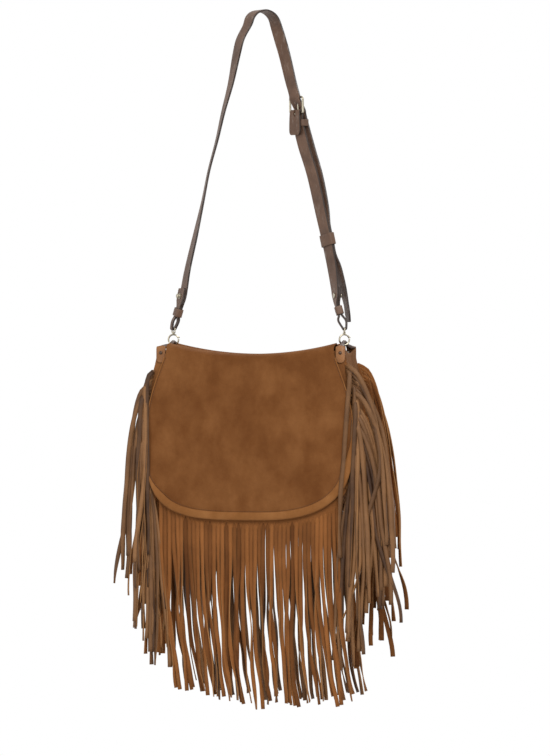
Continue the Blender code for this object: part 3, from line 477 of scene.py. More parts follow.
# %% The pouch's outline
BAG_X = -8 * MM
BAG_TOP, BAG_SHOULDER, BAG_BOTTOM = -454.3 * MM, -600 * MM, -690 * MM
BAG_TOP_HALF, BAG_HALF, BAG_ROUNDNESS = 130 * MM, 141 * MM, 2.6
BAG_WIDENS = 60 * MM           # height over which the sides widen below the mouth
MOUTH_SAG = 14 * MM
WALL_Y, WALL, PUFF = 30.8 * MM, 1.4 * MM, 7 * MM


def bag_half(z):
    return BAG_TOP_HALF + (BAG_HALF - BAG_TOP_HALF) * smooth_step((BAG_TOP - z) / BAG_WIDENS)


def u_outline(x, half, shoulder, bottom, roundness):
    """Height of a U's lower edge at x. A higher roundness gives squarer corners."""
    share = min(abs(x) / half, 1.0)
    return shoulder + (bottom - shoulder) * (1 - share**roundness) ** (1 / roundness)


def bag_lower_edge(x):
    return u_outline(x, BAG_HALF, BAG_SHOULDER, BAG_BOTTOM, BAG_ROUNDNESS)


def half_at(z):
    """Half the pouch's width at any height."""
    if z > BAG_SHOULDER:
        return bag_half(z)
    turn = min((BAG_SHOULDER - z) / (BAG_SHOULDER - BAG_BOTTOM), 1.0)
    return BAG_HALF * (1 - turn**BAG_ROUNDNESS) ** (1 / BAG_ROUNDNESS)


def puff(x, z):
    """How far a wall bulges at a place."""
    across = max(0.0, 1 - (x / BAG_HALF) ** 2)
    down = math.sin(math.pi * min(max((BAG_TOP - z) / (BAG_TOP - BAG_BOTTOM), 0.0), 1.0))
    return PUFF * across * down


def across_share(u):
    """Spreads grid columns from -1 to 1, closer together towards both sides."""
    return math.sin(math.pi / 2 * (2 * u - 1))


print(f"the pouch is {2 * BAG_HALF / MM:.0f} mm wide and {(BAG_TOP - BAG_BOTTOM) / MM:.0f} mm deep")

# %% [markdown]
# Front and back wall. Each is one cut of suede with a turned mouth edge. Shallow dents run over
# it, deepest towards the sewn edge where the seam draws the skin in.

# %% The walls
DENT, DENTS = 0.5 * MM, 26     # depth, and how many to a metre


def wall(name, side):
    def place(u, v):
        share = across_share(u)
        low = bag_lower_edge(share * BAG_HALF)
        high = BAG_TOP - MOUTH_SAG * (1 - share**2)
        z = high + (low - high) * v
        x = share * half_at(z) if z > BAG_SHOULDER else share * BAG_HALF
        dent = DENT * wobble(x, side, z, DENTS) * min(1.0, 6 * (1 - abs(share)))
        return Vector((BAG_X + x, side * (WALL_Y + puff(x, z) + dent), z))

    piece = grid(name, 64, 56, place, WALL_SUEDE)
    settled(soften(thicken(piece, WALL), 0.4 * MM))
    seat(piece, replaced=[name.replace("_suede", "")])


wall("front_panel_suede", -1)
wall("back_panel_suede", 1)

# %% [markdown]
# The gusset is a long strip between the walls, from one corner of the mouth round the bottom to
# the other. Its ends dip at the mouth, where the strip folds in, and shallow creases run over it.

# %% The gusset
GUSSET_DIP, DIP_COLUMNS = 6 * MM, 12     # the ends' dip at the mouth, and its length in columns
GUSSET_CREASE, SEAM_GAP = 0.8 * MM, 0.5 * MM


def u_path(count):
    """Points and outward directions round the pouch's outline, evenly spaced."""
    steps = 240
    outline = []
    for step in range(steps + 1):
        angle = math.pi * step / steps
        across = -squared(math.cos(angle), 2 / BAG_ROUNDNESS)
        down = math.sin(angle) ** (2 / BAG_ROUNDNESS)
        outline.append((BAG_HALF * across, BAG_SHOULDER + (BAG_BOTTOM - BAG_SHOULDER) * down))
    side = [(-bag_half(z), z) for z in np.linspace(BAG_TOP, BAG_SHOULDER, 80)[:-1]]
    (x, z), length = evenly(side + outline + [(-x, z) for x, z in reversed(side)], count)
    dx, dz = np.gradient(x), np.gradient(z)
    size = np.hypot(dx, dz)
    return x, z, dz / size, -dx / size, length


def gusset():
    columns, rows = 180, 14
    xs, zs, out_x, out_z, length = u_path(columns + 1)
    reach = WALL_Y - WALL / 2 - SEAM_GAP

    def place(u, v):
        column = round(u * columns)
        across = 2 * v - 1
        inner = 1 - across**2
        near_mouth = max(0.0, 1 - min(u, 1 - u) * columns / DIP_COLUMNS)
        dip = GUSSET_DIP * near_mouth * inner
        crease = GUSSET_CREASE * (1 + wobble(u * 9, v * 2, 0, 3.0)) * inner
        inset = WALL / 2 + crease
        return Vector((
            BAG_X + xs[column] - out_x[column] * inset, across * reach,
            zs[column] - out_z[column] * inset - dip,
        ))

    piece = grid("gusset_strip", columns, rows, place, GUSSET_SUEDE)
    settled(thicken(piece, WALL))
    seat(piece, replaced=["gusset"])


gusset()

# %% [markdown]
# The lining is a loose cloth pouch inside. It is only seen through the mouth, but it closes the
# view down into the bag.

# %% The lining
LINING_GAP, LINING_CORNER = 3.6 * MM, 4 * MM


def lining():
    def place(u, v):
        drop = math.sin(math.pi / 2 * v)
        top, deepest = BAG_TOP - 3 * MM, BAG_BOTTOM + 9 * MM
        z = top + (deepest - top) * drop
        corner = LINING_CORNER * smooth_step((BAG_SHOULDER - z) / (20 * MM) + 1)
        half = half_at(z) - LINING_GAP - corner
        angle = math.tau * u
        x = half * squared(math.cos(angle), 0.5)
        depth = WALL_Y + puff(x, z) * 0.9 - LINING_GAP
        fold = 1 - 0.05 * abs(wobble(x, 3, z, 16))
        y = fold * depth * squared(math.sin(angle), 0.5)
        sag = MOUTH_SAG * max(0.0, 1 - (x / BAG_TOP_HALF) ** 2) * (1 - v) ** 4
        return Vector((BAG_X + x, y, z - sag))

    piece = grid("lining_pouch", 96, 40, place, LINING_CLOTH, closed=True)
    with Editing(piece.data) as bm:
        low_rim = [e for e in bm.edges if e.is_boundary and e.verts[0].co.z < BAG_SHOULDER]
        bmesh.ops.holes_fill(bm, edges=low_rim)
        bmesh.ops.recalc_face_normals(bm, faces=bm.faces)
    piece.data.shade_smooth()
    settled(thicken(piece, 0.6 * MM))
    seat(piece, replaced=["lining"])


lining()

# %% [markdown]
# The flap is one cut of suede, sewn to the back below the mouth. It rolls over the back edge and
# the front edge, sags between the corners, and falls over the front as a rounded tongue. Its
# width draws in to a neck between the bridge straps. Broad shallow waves keep it from looking
# like a plate, and its hem lifts and drops by a millimetre or two.

# %% The flap
FLAP, FLAP_Y = 1.8 * MM, 36.6 * MM
FLAP_TOP, FLAP_SAG, FLAP_BACK_EDGE = -447.2 * MM, 14.5 * MM, -512 * MM
FLAP_NECK_HALF, FLAP_HALF = 116 * MM, 142.5 * MM
FLAP_SHOULDER, FLAP_BOTTOM = -576 * MM, -684 * MM
FLAP_ROUNDNESS = {-1: 3.6, 1: 2.8}
FLAP_ROLL, ROLL_DIP = 12 * MM, 5.4 * MM   # the roll's rise, and its dip between the mouth's edges
ROLL_SQUARE = 0.55                        # below 1, the roll is squarer than a half circle
FLAP_WIDENS = 100 * MM                    # height over which the flap widens below its neck
FLAP_CLEAR = 0.6 * MM
BACK_SHARE, ROLL_SHARE = 0.14, 0.24       # of the grid's rows, not of the leather


def flap_half(z):
    fall = smooth_step((FLAP_TOP - FLAP_ROLL - z) / FLAP_WIDENS)
    return FLAP_NECK_HALF + (FLAP_HALF - FLAP_NECK_HALF) * fall**0.6


def flap_face_y(x, z):
    """The front fall's depth, with broad waves and small ones."""
    wave = 0.9 * MM * wobble(x, 0, z, 13, 4.0) + 0.35 * MM * wobble(x, 0, z, 45, 9.0)
    return -FLAP_Y - puff(x, z) - wave - FLAP_CLEAR


def flap_start(share):
    """The height at which the roll ends, lower in the middle."""
    return FLAP_TOP - FLAP_SAG * (1 - share**2) - FLAP_ROLL


def flap_front(share, down):
    """A point on the front fall, down from 0 at the roll to 1 at the hem."""
    start = flap_start(share)
    roundness = FLAP_ROUNDNESS[-1 if share < 0 else 1]
    low = u_outline(share * FLAP_HALF, FLAP_HALF, FLAP_SHOULDER, FLAP_BOTTOM, roundness)
    z = start + (low - start) * down
    x = share * flap_half(z)
    return Vector((BAG_X + x, flap_face_y(x, z), z))


def flap_back(share, down):
    start = flap_start(share)
    z = start + (FLAP_BACK_EDGE - start) * down
    x = share * FLAP_NECK_HALF
    return Vector((BAG_X + x, FLAP_Y - 3 * MM + puff(x, z), z))


def flap_place(u, v):
    share = across_share(u)
    if v < BACK_SHARE:
        return flap_back(share, 1 - v / BACK_SHARE)
    if v > BACK_SHARE + ROLL_SHARE:
        return flap_front(share, (v - BACK_SHARE - ROLL_SHARE) / (1 - BACK_SHARE - ROLL_SHARE))
    back, front = flap_back(share, 0), flap_front(share, 0)
    t = (v - BACK_SHARE) / ROLL_SHARE
    angle = math.pi * t
    flat = squared(math.cos(angle), ROLL_SQUARE)
    y = (back.y + front.y) / 2 + (back.y - front.y) / 2 * flat
    rise = FLAP_ROLL * math.sin(angle) ** ROLL_SQUARE
    rise -= ROLL_DIP * smooth_step((0.5 - abs(flat)) / 0.3)
    return Vector(((1 - t) * back.x + t * front.x, y, (1 - t) * back.z + t * front.z + rise))


def flap():
    piece = grid("flap_suede", 110, 150, flap_place, SUEDE)
    settled(soften(thicken(piece, FLAP), 0.5 * MM))
    seat(piece, replaced=["flap"])


flap()

# %% [markdown]
# A lighter strip of suede is sewn round the flap's hem. It is thicker than the flap and a little
# round, like a flattened cord, and a dark line of shade and stitching follows its inner edge. Up
# the sides it narrows to a thin rim, on the left close to the corner and on the right higher up.

# %% The binding
BINDING, BINDING_WIDTH, BINDING_GAP = 1.2 * MM, 10.5 * MM, 0.1 * MM
BINDING_OVER, BINDING_CROWN = 0.4 * MM, 0.12     # past the flap's edge, and its share of the width
RIM_SHARE = 0.08                                 # of the full width, up the sides
# the height below which the rim widens on each side, and the run in which it does
WIDENS = {-1: (-620 * MM, 42 * MM), 1: (-560 * MM, 56 * MM)}


def binding_line(count=260):
    """The flap's edge from the top left, round the hem, to the top right, with inward directions."""
    edge = [(-1.0, 0.06 + 0.94 * step / 80) for step in range(80)]
    edge += [(across_share(step / 160), 1.0) for step in range(161)]
    edge += [(1.0, down) for share, down in reversed(edge[:80])]
    columns, length = evenly([flap_front(share, down)[:] for share, down in edge], count)
    points = [Vector(place) for place in zip(*columns)]
    inward = []
    for step in range(count):
        along = points[min(step + 2, count - 1)] - points[max(step - 2, 0)]
        inward.append(Vector((-along.z, 0, along.x)).normalized())
    return points, inward, length


def binding_width(point):
    start, run = WIDENS[-1 if point.x < BAG_X else 1]
    return BINDING_WIDTH * (RIM_SHARE + (1 - RIM_SHARE) * smooth_step((start - point.z) / run))


def binding():
    points, inward, length = binding_line()

    def place(u, v):
        step = round(u * (len(points) - 1))
        start = points[step] - inward[step] * BINDING_OVER
        width = binding_width(start)
        point = start + inward[step] * v * width
        crown = BINDING_CROWN * width * math.sin(math.pi * v) ** 0.6
        y = flap_face_y(point.x - BAG_X, point.z) - FLAP / 2 - BINDING / 2 - BINDING_GAP - crown
        return Vector((point.x, y, point.z))

    piece = grid("binding_suede", len(points) - 1, 8, place, BINDING_SUEDE)
    settled(thicken(piece, BINDING))
    seat(piece, replaced=["flap_binding"])
    return points, inward


BINDING_POINTS, BINDING_INWARD = binding()

# %% [markdown]
# Two trees make what repeats, the stitches and the strips of fringe. Both take guide lines and a
# few named sizes, lay a shape along each line and give it a finish. The first one spaces points
# evenly along a seam's guide and puts a short thread on each, thinner towards its ends, so that
# the ends sink into the leather. Here a row of stitches holds the binding.

# %% Stitches
def new_tree(name, sizes):
    """A geometry tree with inputs for the guides and for each size, as a Tree and its signals."""
    group = bpy.data.node_groups.new(name, "GeometryNodeTree")
    sockets = group.interface
    sockets.new_socket("Geometry", in_out="INPUT", socket_type="NodeSocketGeometry")
    for label, value in sizes.items():
        made = sockets.new_socket(label, in_out="INPUT", socket_type="NodeSocketFloat")
        made.default_value = value
    sockets.new_socket("Geometry", in_out="OUTPUT", socket_type="NodeSocketGeometry")
    tree = Tree(group)
    given = tree.add("NodeGroupInput").outputs
    return tree, [Signal(tree, given[index]) for index in range(1 + len(sizes))]


def straight(tree, axis, half, count):
    """A line of count points along an axis, reaching half to each side."""
    line = tree.node("GeometryNodeCurvePrimitiveLine", {
        "Start": tree.vector(**{axis: half * -1.0}), "End": tree.vector(**{axis: half}),
    })
    return tree.node("GeometryNodeResampleCurve", {"Curve": line, "Count": count})


def arch(tree):
    """0 at the ends of a line and 1 in its middle."""
    return (tree.node("GeometryNodeSplineParameter", output="Factor") * math.pi).math("SINE")


def completed(tree, shapes, material):
    solid = tree.node("GeometryNodeRealizeInstances", {0: shapes})
    solid = tree.node("GeometryNodeSetMaterial", {0: solid, "Material": material})
    tree.add("NodeGroupOutput", {0: solid})
    return tree.tree


def stitch_tree():
    sizes = {"Pitch": 3.4 * MM, "Length": 2.5 * MM, "Thread": 0.32 * MM}
    tree, (guide, pitch, length, thread) = new_tree("stitches", sizes)
    curve = tree.node("GeometryNodeMeshToCurve", {0: guide})
    points = tree.add("GeometryNodeCurveToPoints", {"Curve": curve, "Length": pitch}, mode="LENGTH")
    line = straight(tree, "Z", length * 0.5, 5)
    swell = arch(tree) ** 0.5 * 0.75 + 0.25
    line = tree.node("GeometryNodeSetCurveRadius", {"Curve": line, "Radius": swell})
    ring = tree.node("GeometryNodeCurvePrimitiveCircle", {"Resolution": 6, "Radius": thread})
    stitch = tree.node("GeometryNodeCurveToMesh", {
        "Curve": line, "Profile Curve": ring, "Fill Caps": True, "Scale": swell,
    })
    placed = tree.node("GeometryNodeInstanceOnPoints", {
        "Points": Signal(tree, points.outputs["Points"]), "Instance": stitch,
        "Rotation": Signal(tree, points.outputs["Rotation"]),
    })
    return completed(tree, placed, THREAD)


STITCHES = stitch_tree()


def line_mesh(name, lines):
    mesh = bpy.data.meshes.new(name)
    points, edges = [], []
    for line in lines:
        first = len(points)
        points += [tuple(point) for point in line]
        edges += [(first + step, first + step + 1) for step in range(len(line) - 1)]
    mesh.from_pydata(points, edges, [])
    return mesh


def binding_seam(name):
    line = []
    for point, inward in zip(BINDING_POINTS, BINDING_INWARD):
        at = point + inward * (binding_width(point) + 1.0 * MM)
        line.append((at.x, flap_face_y(at.x - BAG_X, at.z) - FLAP / 2 - BINDING_GAP, at.z))
    piece = new_object(name, line_mesh(name, [line]))
    piece.modifiers.new("stitches", "NODES").node_group = STITCHES
    settled(piece).data.shade_smooth()
    seat(piece)


binding_seam("binding_stitches")

# %% [markdown]
# Fringe. Each strip follows a guide: a line of points that carries the strip's number, its share
# along the strip and the way the suede side faces. One tree turns all guides of a comb into
# strips. It lets them waver and twist, more towards the free end, and cups them across.

# %% The strip tree
HEADER_TONE = 0.55      # where the uncut band's brown lies between the darkest strip and the lightest
HIDE = 1.2 * MM         # thickness of the fringe's hide


def strip_tree():
    sizes = {"Width": 5.2 * MM, "Cup": 0.5 * MM, "Waver": 4 * MM, "Twist": 0.9, "Seed": 1.0}
    tree, (guide, width, cup, waver, twist, seed) = new_tree("cut_strips", sizes)

    def carried(name, data_type="FLOAT"):
        return tree.node("GeometryNodeInputNamedAttribute", {"Name": name}, data_type=data_type)

    strip, along, facing = carried("strip"), carried("along"), carried("facing", "FLOAT_VECTOR")

    def drift(turns, row):
        """Noise from about -1 to 1 that changes along a strip and from strip to strip."""
        place = tree.vector(X=along * turns, Y=strip * 91.0 + row, Z=seed * 7.3)
        return (tree.noise(place, 1.0, 1.0) - 0.5) * 4.0

    curve = tree.node("GeometryNodeMeshToCurve", {0: guide})
    loose = along ** 1.15
    offset = tree.vector(
        X=drift(2.2, 3.0) * waver * loose, Y=drift(2.0, 31.0) * waver * loose * 0.6,
        Z=drift(0.1, 57.0) * waver * along * 0.9,
    )
    curve = tree.node("GeometryNodeSetPosition", {"Geometry": curve, "Offset": offset})
    curve = tree.node("GeometryNodeSetCurveNormal", {"Curve": curve, "Normal": facing}, mode="FREE")
    turn = drift(1.6, 77.0) * twist * along.between(0.05, 0.7)
    curve = tree.node("GeometryNodeSetCurveTilt", {"Curve": curve, "Tilt": turn})
    flat = straight(tree, "Y", width * 0.5, 3)
    bow = tree.vector(X=arch(tree) * cup)
    section = tree.node("GeometryNodeSetPosition", {"Geometry": flat, "Offset": bow})
    strips = tree.node("GeometryNodeCurveToMesh", {"Curve": curve, "Profile Curve": section})
    return completed(tree, strips, FRINGE_SUEDE)


STRIPS = strip_tree()


def guides(name, strips):
    """strips holds, for each strip, its share between dark and light, its points and their facing."""
    mesh = line_mesh(name, [points for _, points, _ in strips])
    values = {"strip": [], "along": [], "facing": []}
    for share, points, facing in strips:
        values["strip"] += [share] * len(points)
        values["along"] += [step / (len(points) - 1) for step in range(len(points))]
        values["facing"] += [part for vector in facing for part in vector]
    for label, kind in (("strip", "FLOAT"), ("along", "FLOAT"), ("facing", "FLOAT_VECTOR")):
        key = "vector" if kind == "FLOAT_VECTOR" else "value"
        mesh.attributes.new(label, kind, "POINT").data.foreach_set(key, values[label])
    return mesh


def comb(name, strips, header, flat, outer=FRINGE_SUEDE, inner=FRINGE_SKIN, **sizes):
    """Strips and the uncut header sheet above them, as one piece with an outer and an inner side."""
    tone = header.data.attributes.new("strip", "FLOAT", "POINT")
    tone.data.foreach_set("value", [HEADER_TONE] * len(header.data.vertices))
    piece = new_object(name, guides(name, strips))
    cutting = piece.modifiers.new("strips", "NODES")
    cutting.node_group = STRIPS
    for item in STRIPS.interface.items_tree:
        if item.in_out == "INPUT" and item.name in sizes:
            cutting[item.identifier] = sizes[item.name]
    settled(piece)
    piece.data.materials.clear()
    # The rim takes the pale edge finish, which is partly painted highlight.
    for material in (outer, inner, FRINGE_EDGE_AND_HIGHLIGHT):
        piece.data.materials.append(material)
    with Editing(piece.data) as bm:
        bm.from_mesh(header.data)
    bpy.data.objects.remove(header, do_unlink=True)
    piece.data.shade_smooth()
    settled(thicken(piece, HIDE, inner=1, rim=2))
    seat(piece, replaced=[name.replace("_strips", "")])


print("trees:", STITCHES.name, STRIPS.name)

# %% [markdown]
# The front fringe hangs from the seam round the pouch's bottom, with a second one behind it. The
# slits start a few millimetres below the flap's hem, never quite level. The strips fall straight
# at first. Lower down they bunch and twist, so daylight shows between them, and on the left half
# they sweep to the right. Their ends follow a shallow bow.

# %% The hem fringes
HEM_PITCH, HEM_WIDTH, HEM_STEPS = 5.7 * MM, 5.3 * MM, 30
HEM_LEFT, HEM_RIGHT = BAG_X - 127 * MM, BAG_X + 127 * MM
HEADER, HEADER_OFF = 9 * MM, 2.2 * MM              # above the seam, and off the wall's middle
HEM_LOWEST_X, HEM_LOWEST = 20 * MM, -929 * MM
HEM_BOW = {-1: (155 * MM, 31 * MM), 1: (126 * MM, 9 * MM)}   # run and rise to each side
BUNCH, STRAY, UNEVEN = 8.5 * MM, 3.0, 3.5          # neighbours drift together, and differ by chance
UNCUT, UNCUT_MORE = 6, 16                          # millimetres of the band below the seam


def hem_end(x):
    """Height at which the strips end."""
    run, rise = HEM_BOW[-1 if x < HEM_LOWEST_X else 1]
    return HEM_LOWEST + rise * ((x - HEM_LOWEST_X) / run) ** 2


def hem_fringe(name, side, seed):
    rng = np.random.default_rng(seed)
    span = HEM_RIGHT - HEM_LEFT
    count = int(span / HEM_PITCH)
    strips = []
    for number in range(count):
        x = HEM_LEFT + (number + 0.5) * HEM_PITCH
        across = (x - HEM_LEFT) / span
        top = bag_lower_edge(x - BAG_X) + 2 * MM
        # the strips on the left sweep to the right, and the last ones on the right swing out
        sweep = 20 * MM * (1 - across) ** 0.7 + 22 * MM * max(0.0, across - 0.55) ** 1.5 / 0.3
        bunch = BUNCH * wobble(number * 0.34, seed, 0, 1.0) + rng.normal(0, STRAY) * MM
        end = hem_end(x + sweep) + rng.normal(0, UNEVEN) * MM
        points = []
        for t in np.linspace(0, 1, HEM_STEPS + 1):
            aside = t**2.4 * sweep + smooth_step(t * 1.5 - 0.2) * bunch
            off = HEADER_OFF + 3 * MM * math.sin(2 * t) + 1.4 * MM * (number % 2) * t
            points.append((x + aside, side * (WALL_Y + off), top + (end - top) * t))
        strips.append((rng.uniform(0, 1), points, [(0, side, 0)] * len(points)))

    def place(u, v):
        x = HEM_LEFT + span * u
        seam_z = bag_lower_edge(x - BAG_X)
        uncut = (UNCUT + UNCUT_MORE * abs(wobble(u * count * 0.9, seed, 5, 1.0))) * MM
        z = seam_z + HEADER - (HEADER + uncut) * v
        off = HEADER_OFF + 0.2 * MM + puff(x - BAG_X, z) * (1 - v)
        return Vector((x, side * (WALL_Y + off), z))

    comb(
        name, strips, grid(name + "_header", 2 * count, 5, place), (span, 0.275),
        Width=HEM_WIDTH, Cup=0.35 * MM, Waver=5.5 * MM, Twist=2.6, Seed=float(seed),
    )


hem_fringe("front_fringe_strips", -1, 3)
hem_fringe("back_fringe_strips", 1, 8)

# %% [markdown]
# The side fringes are sewn down the two edges of each side seam. A strip leaves the seam, turns
# down at once by its own weight and drifts outwards as it falls, so each bunch hangs like a
# waterfall. The upper strips lie in front and cover the roots of the lower ones, and the lowest
# strips drift inwards instead. The right bunch stands off further. Most strips show their smooth
# skin side.

# %% The side fringes
SIDE_TOP, SIDE_END, SIDE_LENGTH = -474 * MM, -640 * MM, 256 * MM
SIDE_LOWER = {-1: 9 * MM, 1: 0}              # the left seam's first strip is lower by this
SIDE_STRIPS, SIDE_STEPS = 34, 34
SIDE_DRIFT = {-1: 55 * MM, 1: 75 * MM}       # run in which a strip comes most of the way out
SIDE_LIMITS = {(-1, -1): (-4, 35), (-1, 1): (2, 32), (1, -1): (-9, 61), (1, 1): (-3, 57)}
SIDE_LIFT, SIDE_DEPTH = 4.5 * MM, 19 * MM    # how far strips stand off the wall, then sink back
SIDE_INWARD = 22 * MM                        # how far the lowest strips drift inwards
SIDE_HEADER = 2.5 * MM
LEAVING, LEAVING_RUN = 0.75, 7 * MM          # slope at the seam, and the run in which it fades
MOST_SIDEWAYS = 0.9                          # the share of its run that a strip goes sideways
LIFT_RUN, SETTLE_RUN = 14 * MM, 90 * MM      # runs in which a strip stands off, and sinks back
SWING_FROM, SWING_RUN = 120 * MM, 130 * MM   # where the lower end starts to swing aside
SWING, WIDE_SWING, WIDE_SHARE = 4, 17, 0.25  # millimetres, and how many strips swing widely


def falling(start_x, start_z, out, length, drift):
    """Points of a strip that drifts out by so much while it falls: (x from the middle, z, run)."""
    x, z, run = start_x, start_z, 0.0
    step = length / SIDE_STEPS
    for _ in range(SIDE_STEPS + 1):
        yield x, z, run
        slope = out / drift * math.exp(-run / drift) + LEAVING * math.exp(-run / LEAVING_RUN)
        slope = max(-MOST_SIDEWAYS, min(MOST_SIDEWAYS, slope))
        x, z, run = x + slope * step, z - math.sqrt(1 - slope**2) * step, run + step


def side_fringe(name, side, face, seed):
    rng = np.random.default_rng(seed)
    top = SIDE_TOP - SIDE_LOWER[side]
    pitch = (top - SIDE_END) / SIDE_STRIPS
    nearest, furthest = (limit * MM for limit in SIDE_LIMITS[side, face])
    strips = []
    for number in range(SIDE_STRIPS):
        share = number / (SIDE_STRIPS - 1)
        start = top - (number + 0.5) * pitch
        most = furthest * (1 - 0.85 * share**1.7)
        near = nearest - SIDE_INWARD * smooth_step(share * 2 - 1)
        out = near + (most - near) * rng.uniform(0.0, 1.0) ** 0.8 - 5 * MM
        length = SIDE_LENGTH * rng.uniform(0.93, 1.0)
        lift = SIDE_LIFT * (1 - share) + 3 * MM * rng.uniform(-1, 1)
        depth = SIDE_DEPTH * rng.uniform(0.3, 1.0) * max(0.0, out / furthest)
        swing = rng.normal(0, SWING if rng.uniform() < 1 - WIDE_SHARE else WIDE_SWING) * MM
        points, facing = [], []
        for x, z, run in falling(half_at(start) - 1 * MM, start, out, length, SIDE_DRIFT[side]):
            settled_in = smooth_step(run / SETTLE_RUN)
            late = smooth_step((run - SWING_FROM) / SWING_RUN)
            off = HEADER_OFF + 0.8 * MM + lift * smooth_step(run / LIFT_RUN) - depth * settled_in
            points.append((BAG_X + side * (x + swing * late), face * (WALL_Y + off), z))
            facing.append((0.35 * side * settled_in, face, 0))
        strips.append((rng.uniform(0, 1), points, facing))

    def place(u, v):
        z = top + (SIDE_END - top) * u
        x = half_at(z) + SIDE_HEADER * (2 * v - 1)
        return Vector((BAG_X + side * x, face * (WALL_Y + HEADER_OFF + puff(x, z)), z))

    comb(
        name, strips, grid(name + "_header", 60, 4, place), (SIDE_TOP - SIDE_END, 0.268),
        FRINGE_SKIN, FRINGE_SUEDE, Width=6 * MM, Cup=0.9 * MM, Waver=3.5 * MM, Twist=1.7,
        Seed=float(seed),
    )


side_fringe("left_front_fringe_strips", -1, -1, 11)
side_fringe("left_back_fringe_strips", -1, 1, 12)
side_fringe("right_front_fringe_strips", 1, -1, 13)
side_fringe("right_back_fringe_strips", 1, 1, 14)

# %% [markdown]
# The strap is two lengths of leather. The long one loops round the left hook's eye, runs over the
# crown, passes the buckle and hangs down as a loose end. The lower one folds round the buckle's
# bar and loops round the right eye. Their middle lines are the ones of the solids: stations with
# a point, the way the width lies, and half the width, joined by a smooth curve.

# %% The straps' routes
STRAP_HALF, STRAP, GAP = 10 * MM, 2.4 * MM, 0.4 * MM
TONGUE_HALF, NECK_HALF, KEPT_HALF = 3.2 * MM, 4 * MM, 4.6 * MM    # towards the eye the strap narrows
FOLD = STRAP + 2 * GAP
EYE_BAR_Z, EYE_WIRE = -426.4 * MM, 0.8 * MM
HOOK_X = {-1: -124 * MM, 1: 114 * MM}
LOOP_YAW = {-1: -40, 1: -20}
LONG_ROUTE = [
    (-113.4, 0, -396.9, -40), (-108.3, -1, -372.6, -38), (-103.1, -2.5, -345.6, -34),
    (-92.1, -5, -302.4, -30), (-80.9, -7.5, -256.5, -22), (-71.3, -10, -213.3, -20),
    (-59.5, -12.5, -172.8, -22), (-49.9, -15, -135, -26), (-39, -17, -97.2, -33),
    (-30.7, -19, -59.4, -42), (-24.9, -20, -37.8, -45), (-15.4, -19.7, -20, -48),
    (-12.3, -15.8, -8.5, -51), (-7.4, -9.5, -1.5, -52), (0, 0, 1.5, -52), (7.4, 9.5, -1.5, -53),
    (12.3, 15.8, -8.5, -55), (15.4, 19.7, -20, -60), (20.8, 20, -37.8, -63), (27.2, 19, -59.4, -60),
    (35.5, 17, -91.8, -57),
]
LOWER_ROUTE = [
    (48.2, 13.6, -156.6, -56), (55.5, 12, -183.6, -57), (67.8, 10.5, -221.4, -57),
    (79.9, 8, -272.7, -54), (88.3, 6, -307.8, -51), (95.7, 4, -342.9, -47), (100.1, 2, -371.3, -38),
    (102.2, 0.5, -394.2, -28),
]
TAIL_OFFSETS = [
    (-156.6, 9.5), (-183.6, 10.5), (-221.4, 9.0), (-262, 7.5), (-288, 3.3), (-307.8, 3.1),
    (-327, 3.3), (-345, 8.0), (-371.3, 11.6), (-394.2, 14.4), (-408, 16.4), (-418.5, 18.2),
]


def width_vector(yaw):
    return Vector((math.sin(math.radians(yaw)), math.cos(math.radians(yaw)), 0))


def outward(yaw, side):
    """The strap's normal that faces away from the middle, on the left (-1) or the right (1)."""
    return side * Vector((math.cos(math.radians(yaw)), -math.sin(math.radians(yaw)), 0))


def frame_at(origin, across, along):
    """A placing matrix: local X across, local Z along, local Y through."""
    z = along.normalized()
    x = (across - across.dot(z) * z).normalized()
    y = z.cross(x)
    return Matrix.Translation(origin) @ Matrix((x, y, z)).transposed().to_4x4()


def scaled(route):
    return [(Vector((x, y, z)) * MM, yaw, STRAP_HALF) for x, y, z, yaw in route]


def tapered(run):
    """A route whose first station is narrowed for the end keeper, with a shoulder after it."""
    (low, yaw, _), (high, turn, half) = run[:2]
    shoulder = (low.lerp(high, 0.45), yaw + (turn - yaw) * 0.45, half)
    return [(low, yaw, KEPT_HALF + 1 * MM), shoulder] + run[1:]


def loop_round_eye(side, last, yaw, spread, back_to):
    """Down round the eye's bar as a narrow tongue, and back up the outer side."""
    out = outward(yaw, side)
    bar = Vector((HOOK_X[side], 0, EYE_BAR_Z))
    round_bar = EYE_WIRE + GAP + STRAP / 2
    start = last + out * FOLD / 2

    def level(share, off, half):
        return start.lerp(bar, share) + out * off, yaw, half

    stations = [
        level(0.28, -FOLD / 2, KEPT_HALF), level(0.46, -FOLD * 0.6, NECK_HALF),
        level(0.70, -spread, TONGUE_HALF), (bar - out * round_bar * 1.05, yaw, TONGUE_HALF),
    ]
    for degrees in (45, 90, 135):
        turn = math.radians(degrees)
        below = Vector((0, 0, -round_bar * math.sin(turn)))
        stations.append((bar - out * round_bar * math.cos(turn) + below, yaw, TONGUE_HALF))
    stations += [
        (bar + out * round_bar * 1.05, yaw, TONGUE_HALF), level(0.70, spread, TONGUE_HALF),
        level(0.46, FOLD * 0.6, NECK_HALF), level(0.28, FOLD / 2, KEPT_HALF),
    ]
    return stations + [(point + outward(turn, side) * FOLD, turn, half) for point, turn, half in back_to]


def smoothed(stations, parts):
    """Catmull-Rom stations between the given (point, yaw, half width)."""
    table = np.array([[*point, yaw, half] for point, yaw, half in stations])
    table = np.vstack([table[0], table, table[-1]])
    out = []
    for p0, p1, p2, p3 in zip(table, table[1:], table[2:], table[3:]):
        for t in np.arange(parts) / parts:
            out.append(0.5 * (
                2 * p1 + (p2 - p0) * t + (2 * p0 - 5 * p1 + 4 * p2 - p3) * t**2
                + (3 * p1 - p0 - 3 * p2 + p3) * t**3
            ))
    out.append(table[-1])
    return [(Vector(row[:3]), row[3], row[4]) for row in out]


print("route points:", len(LONG_ROUTE), "and", len(LOWER_ROUTE))

# %% [markdown]
# The buckle sits on the right leg and lies in the strap's own plane there. Its frame of reference
# serves the strap's bends round it, the wire frame and the prong.

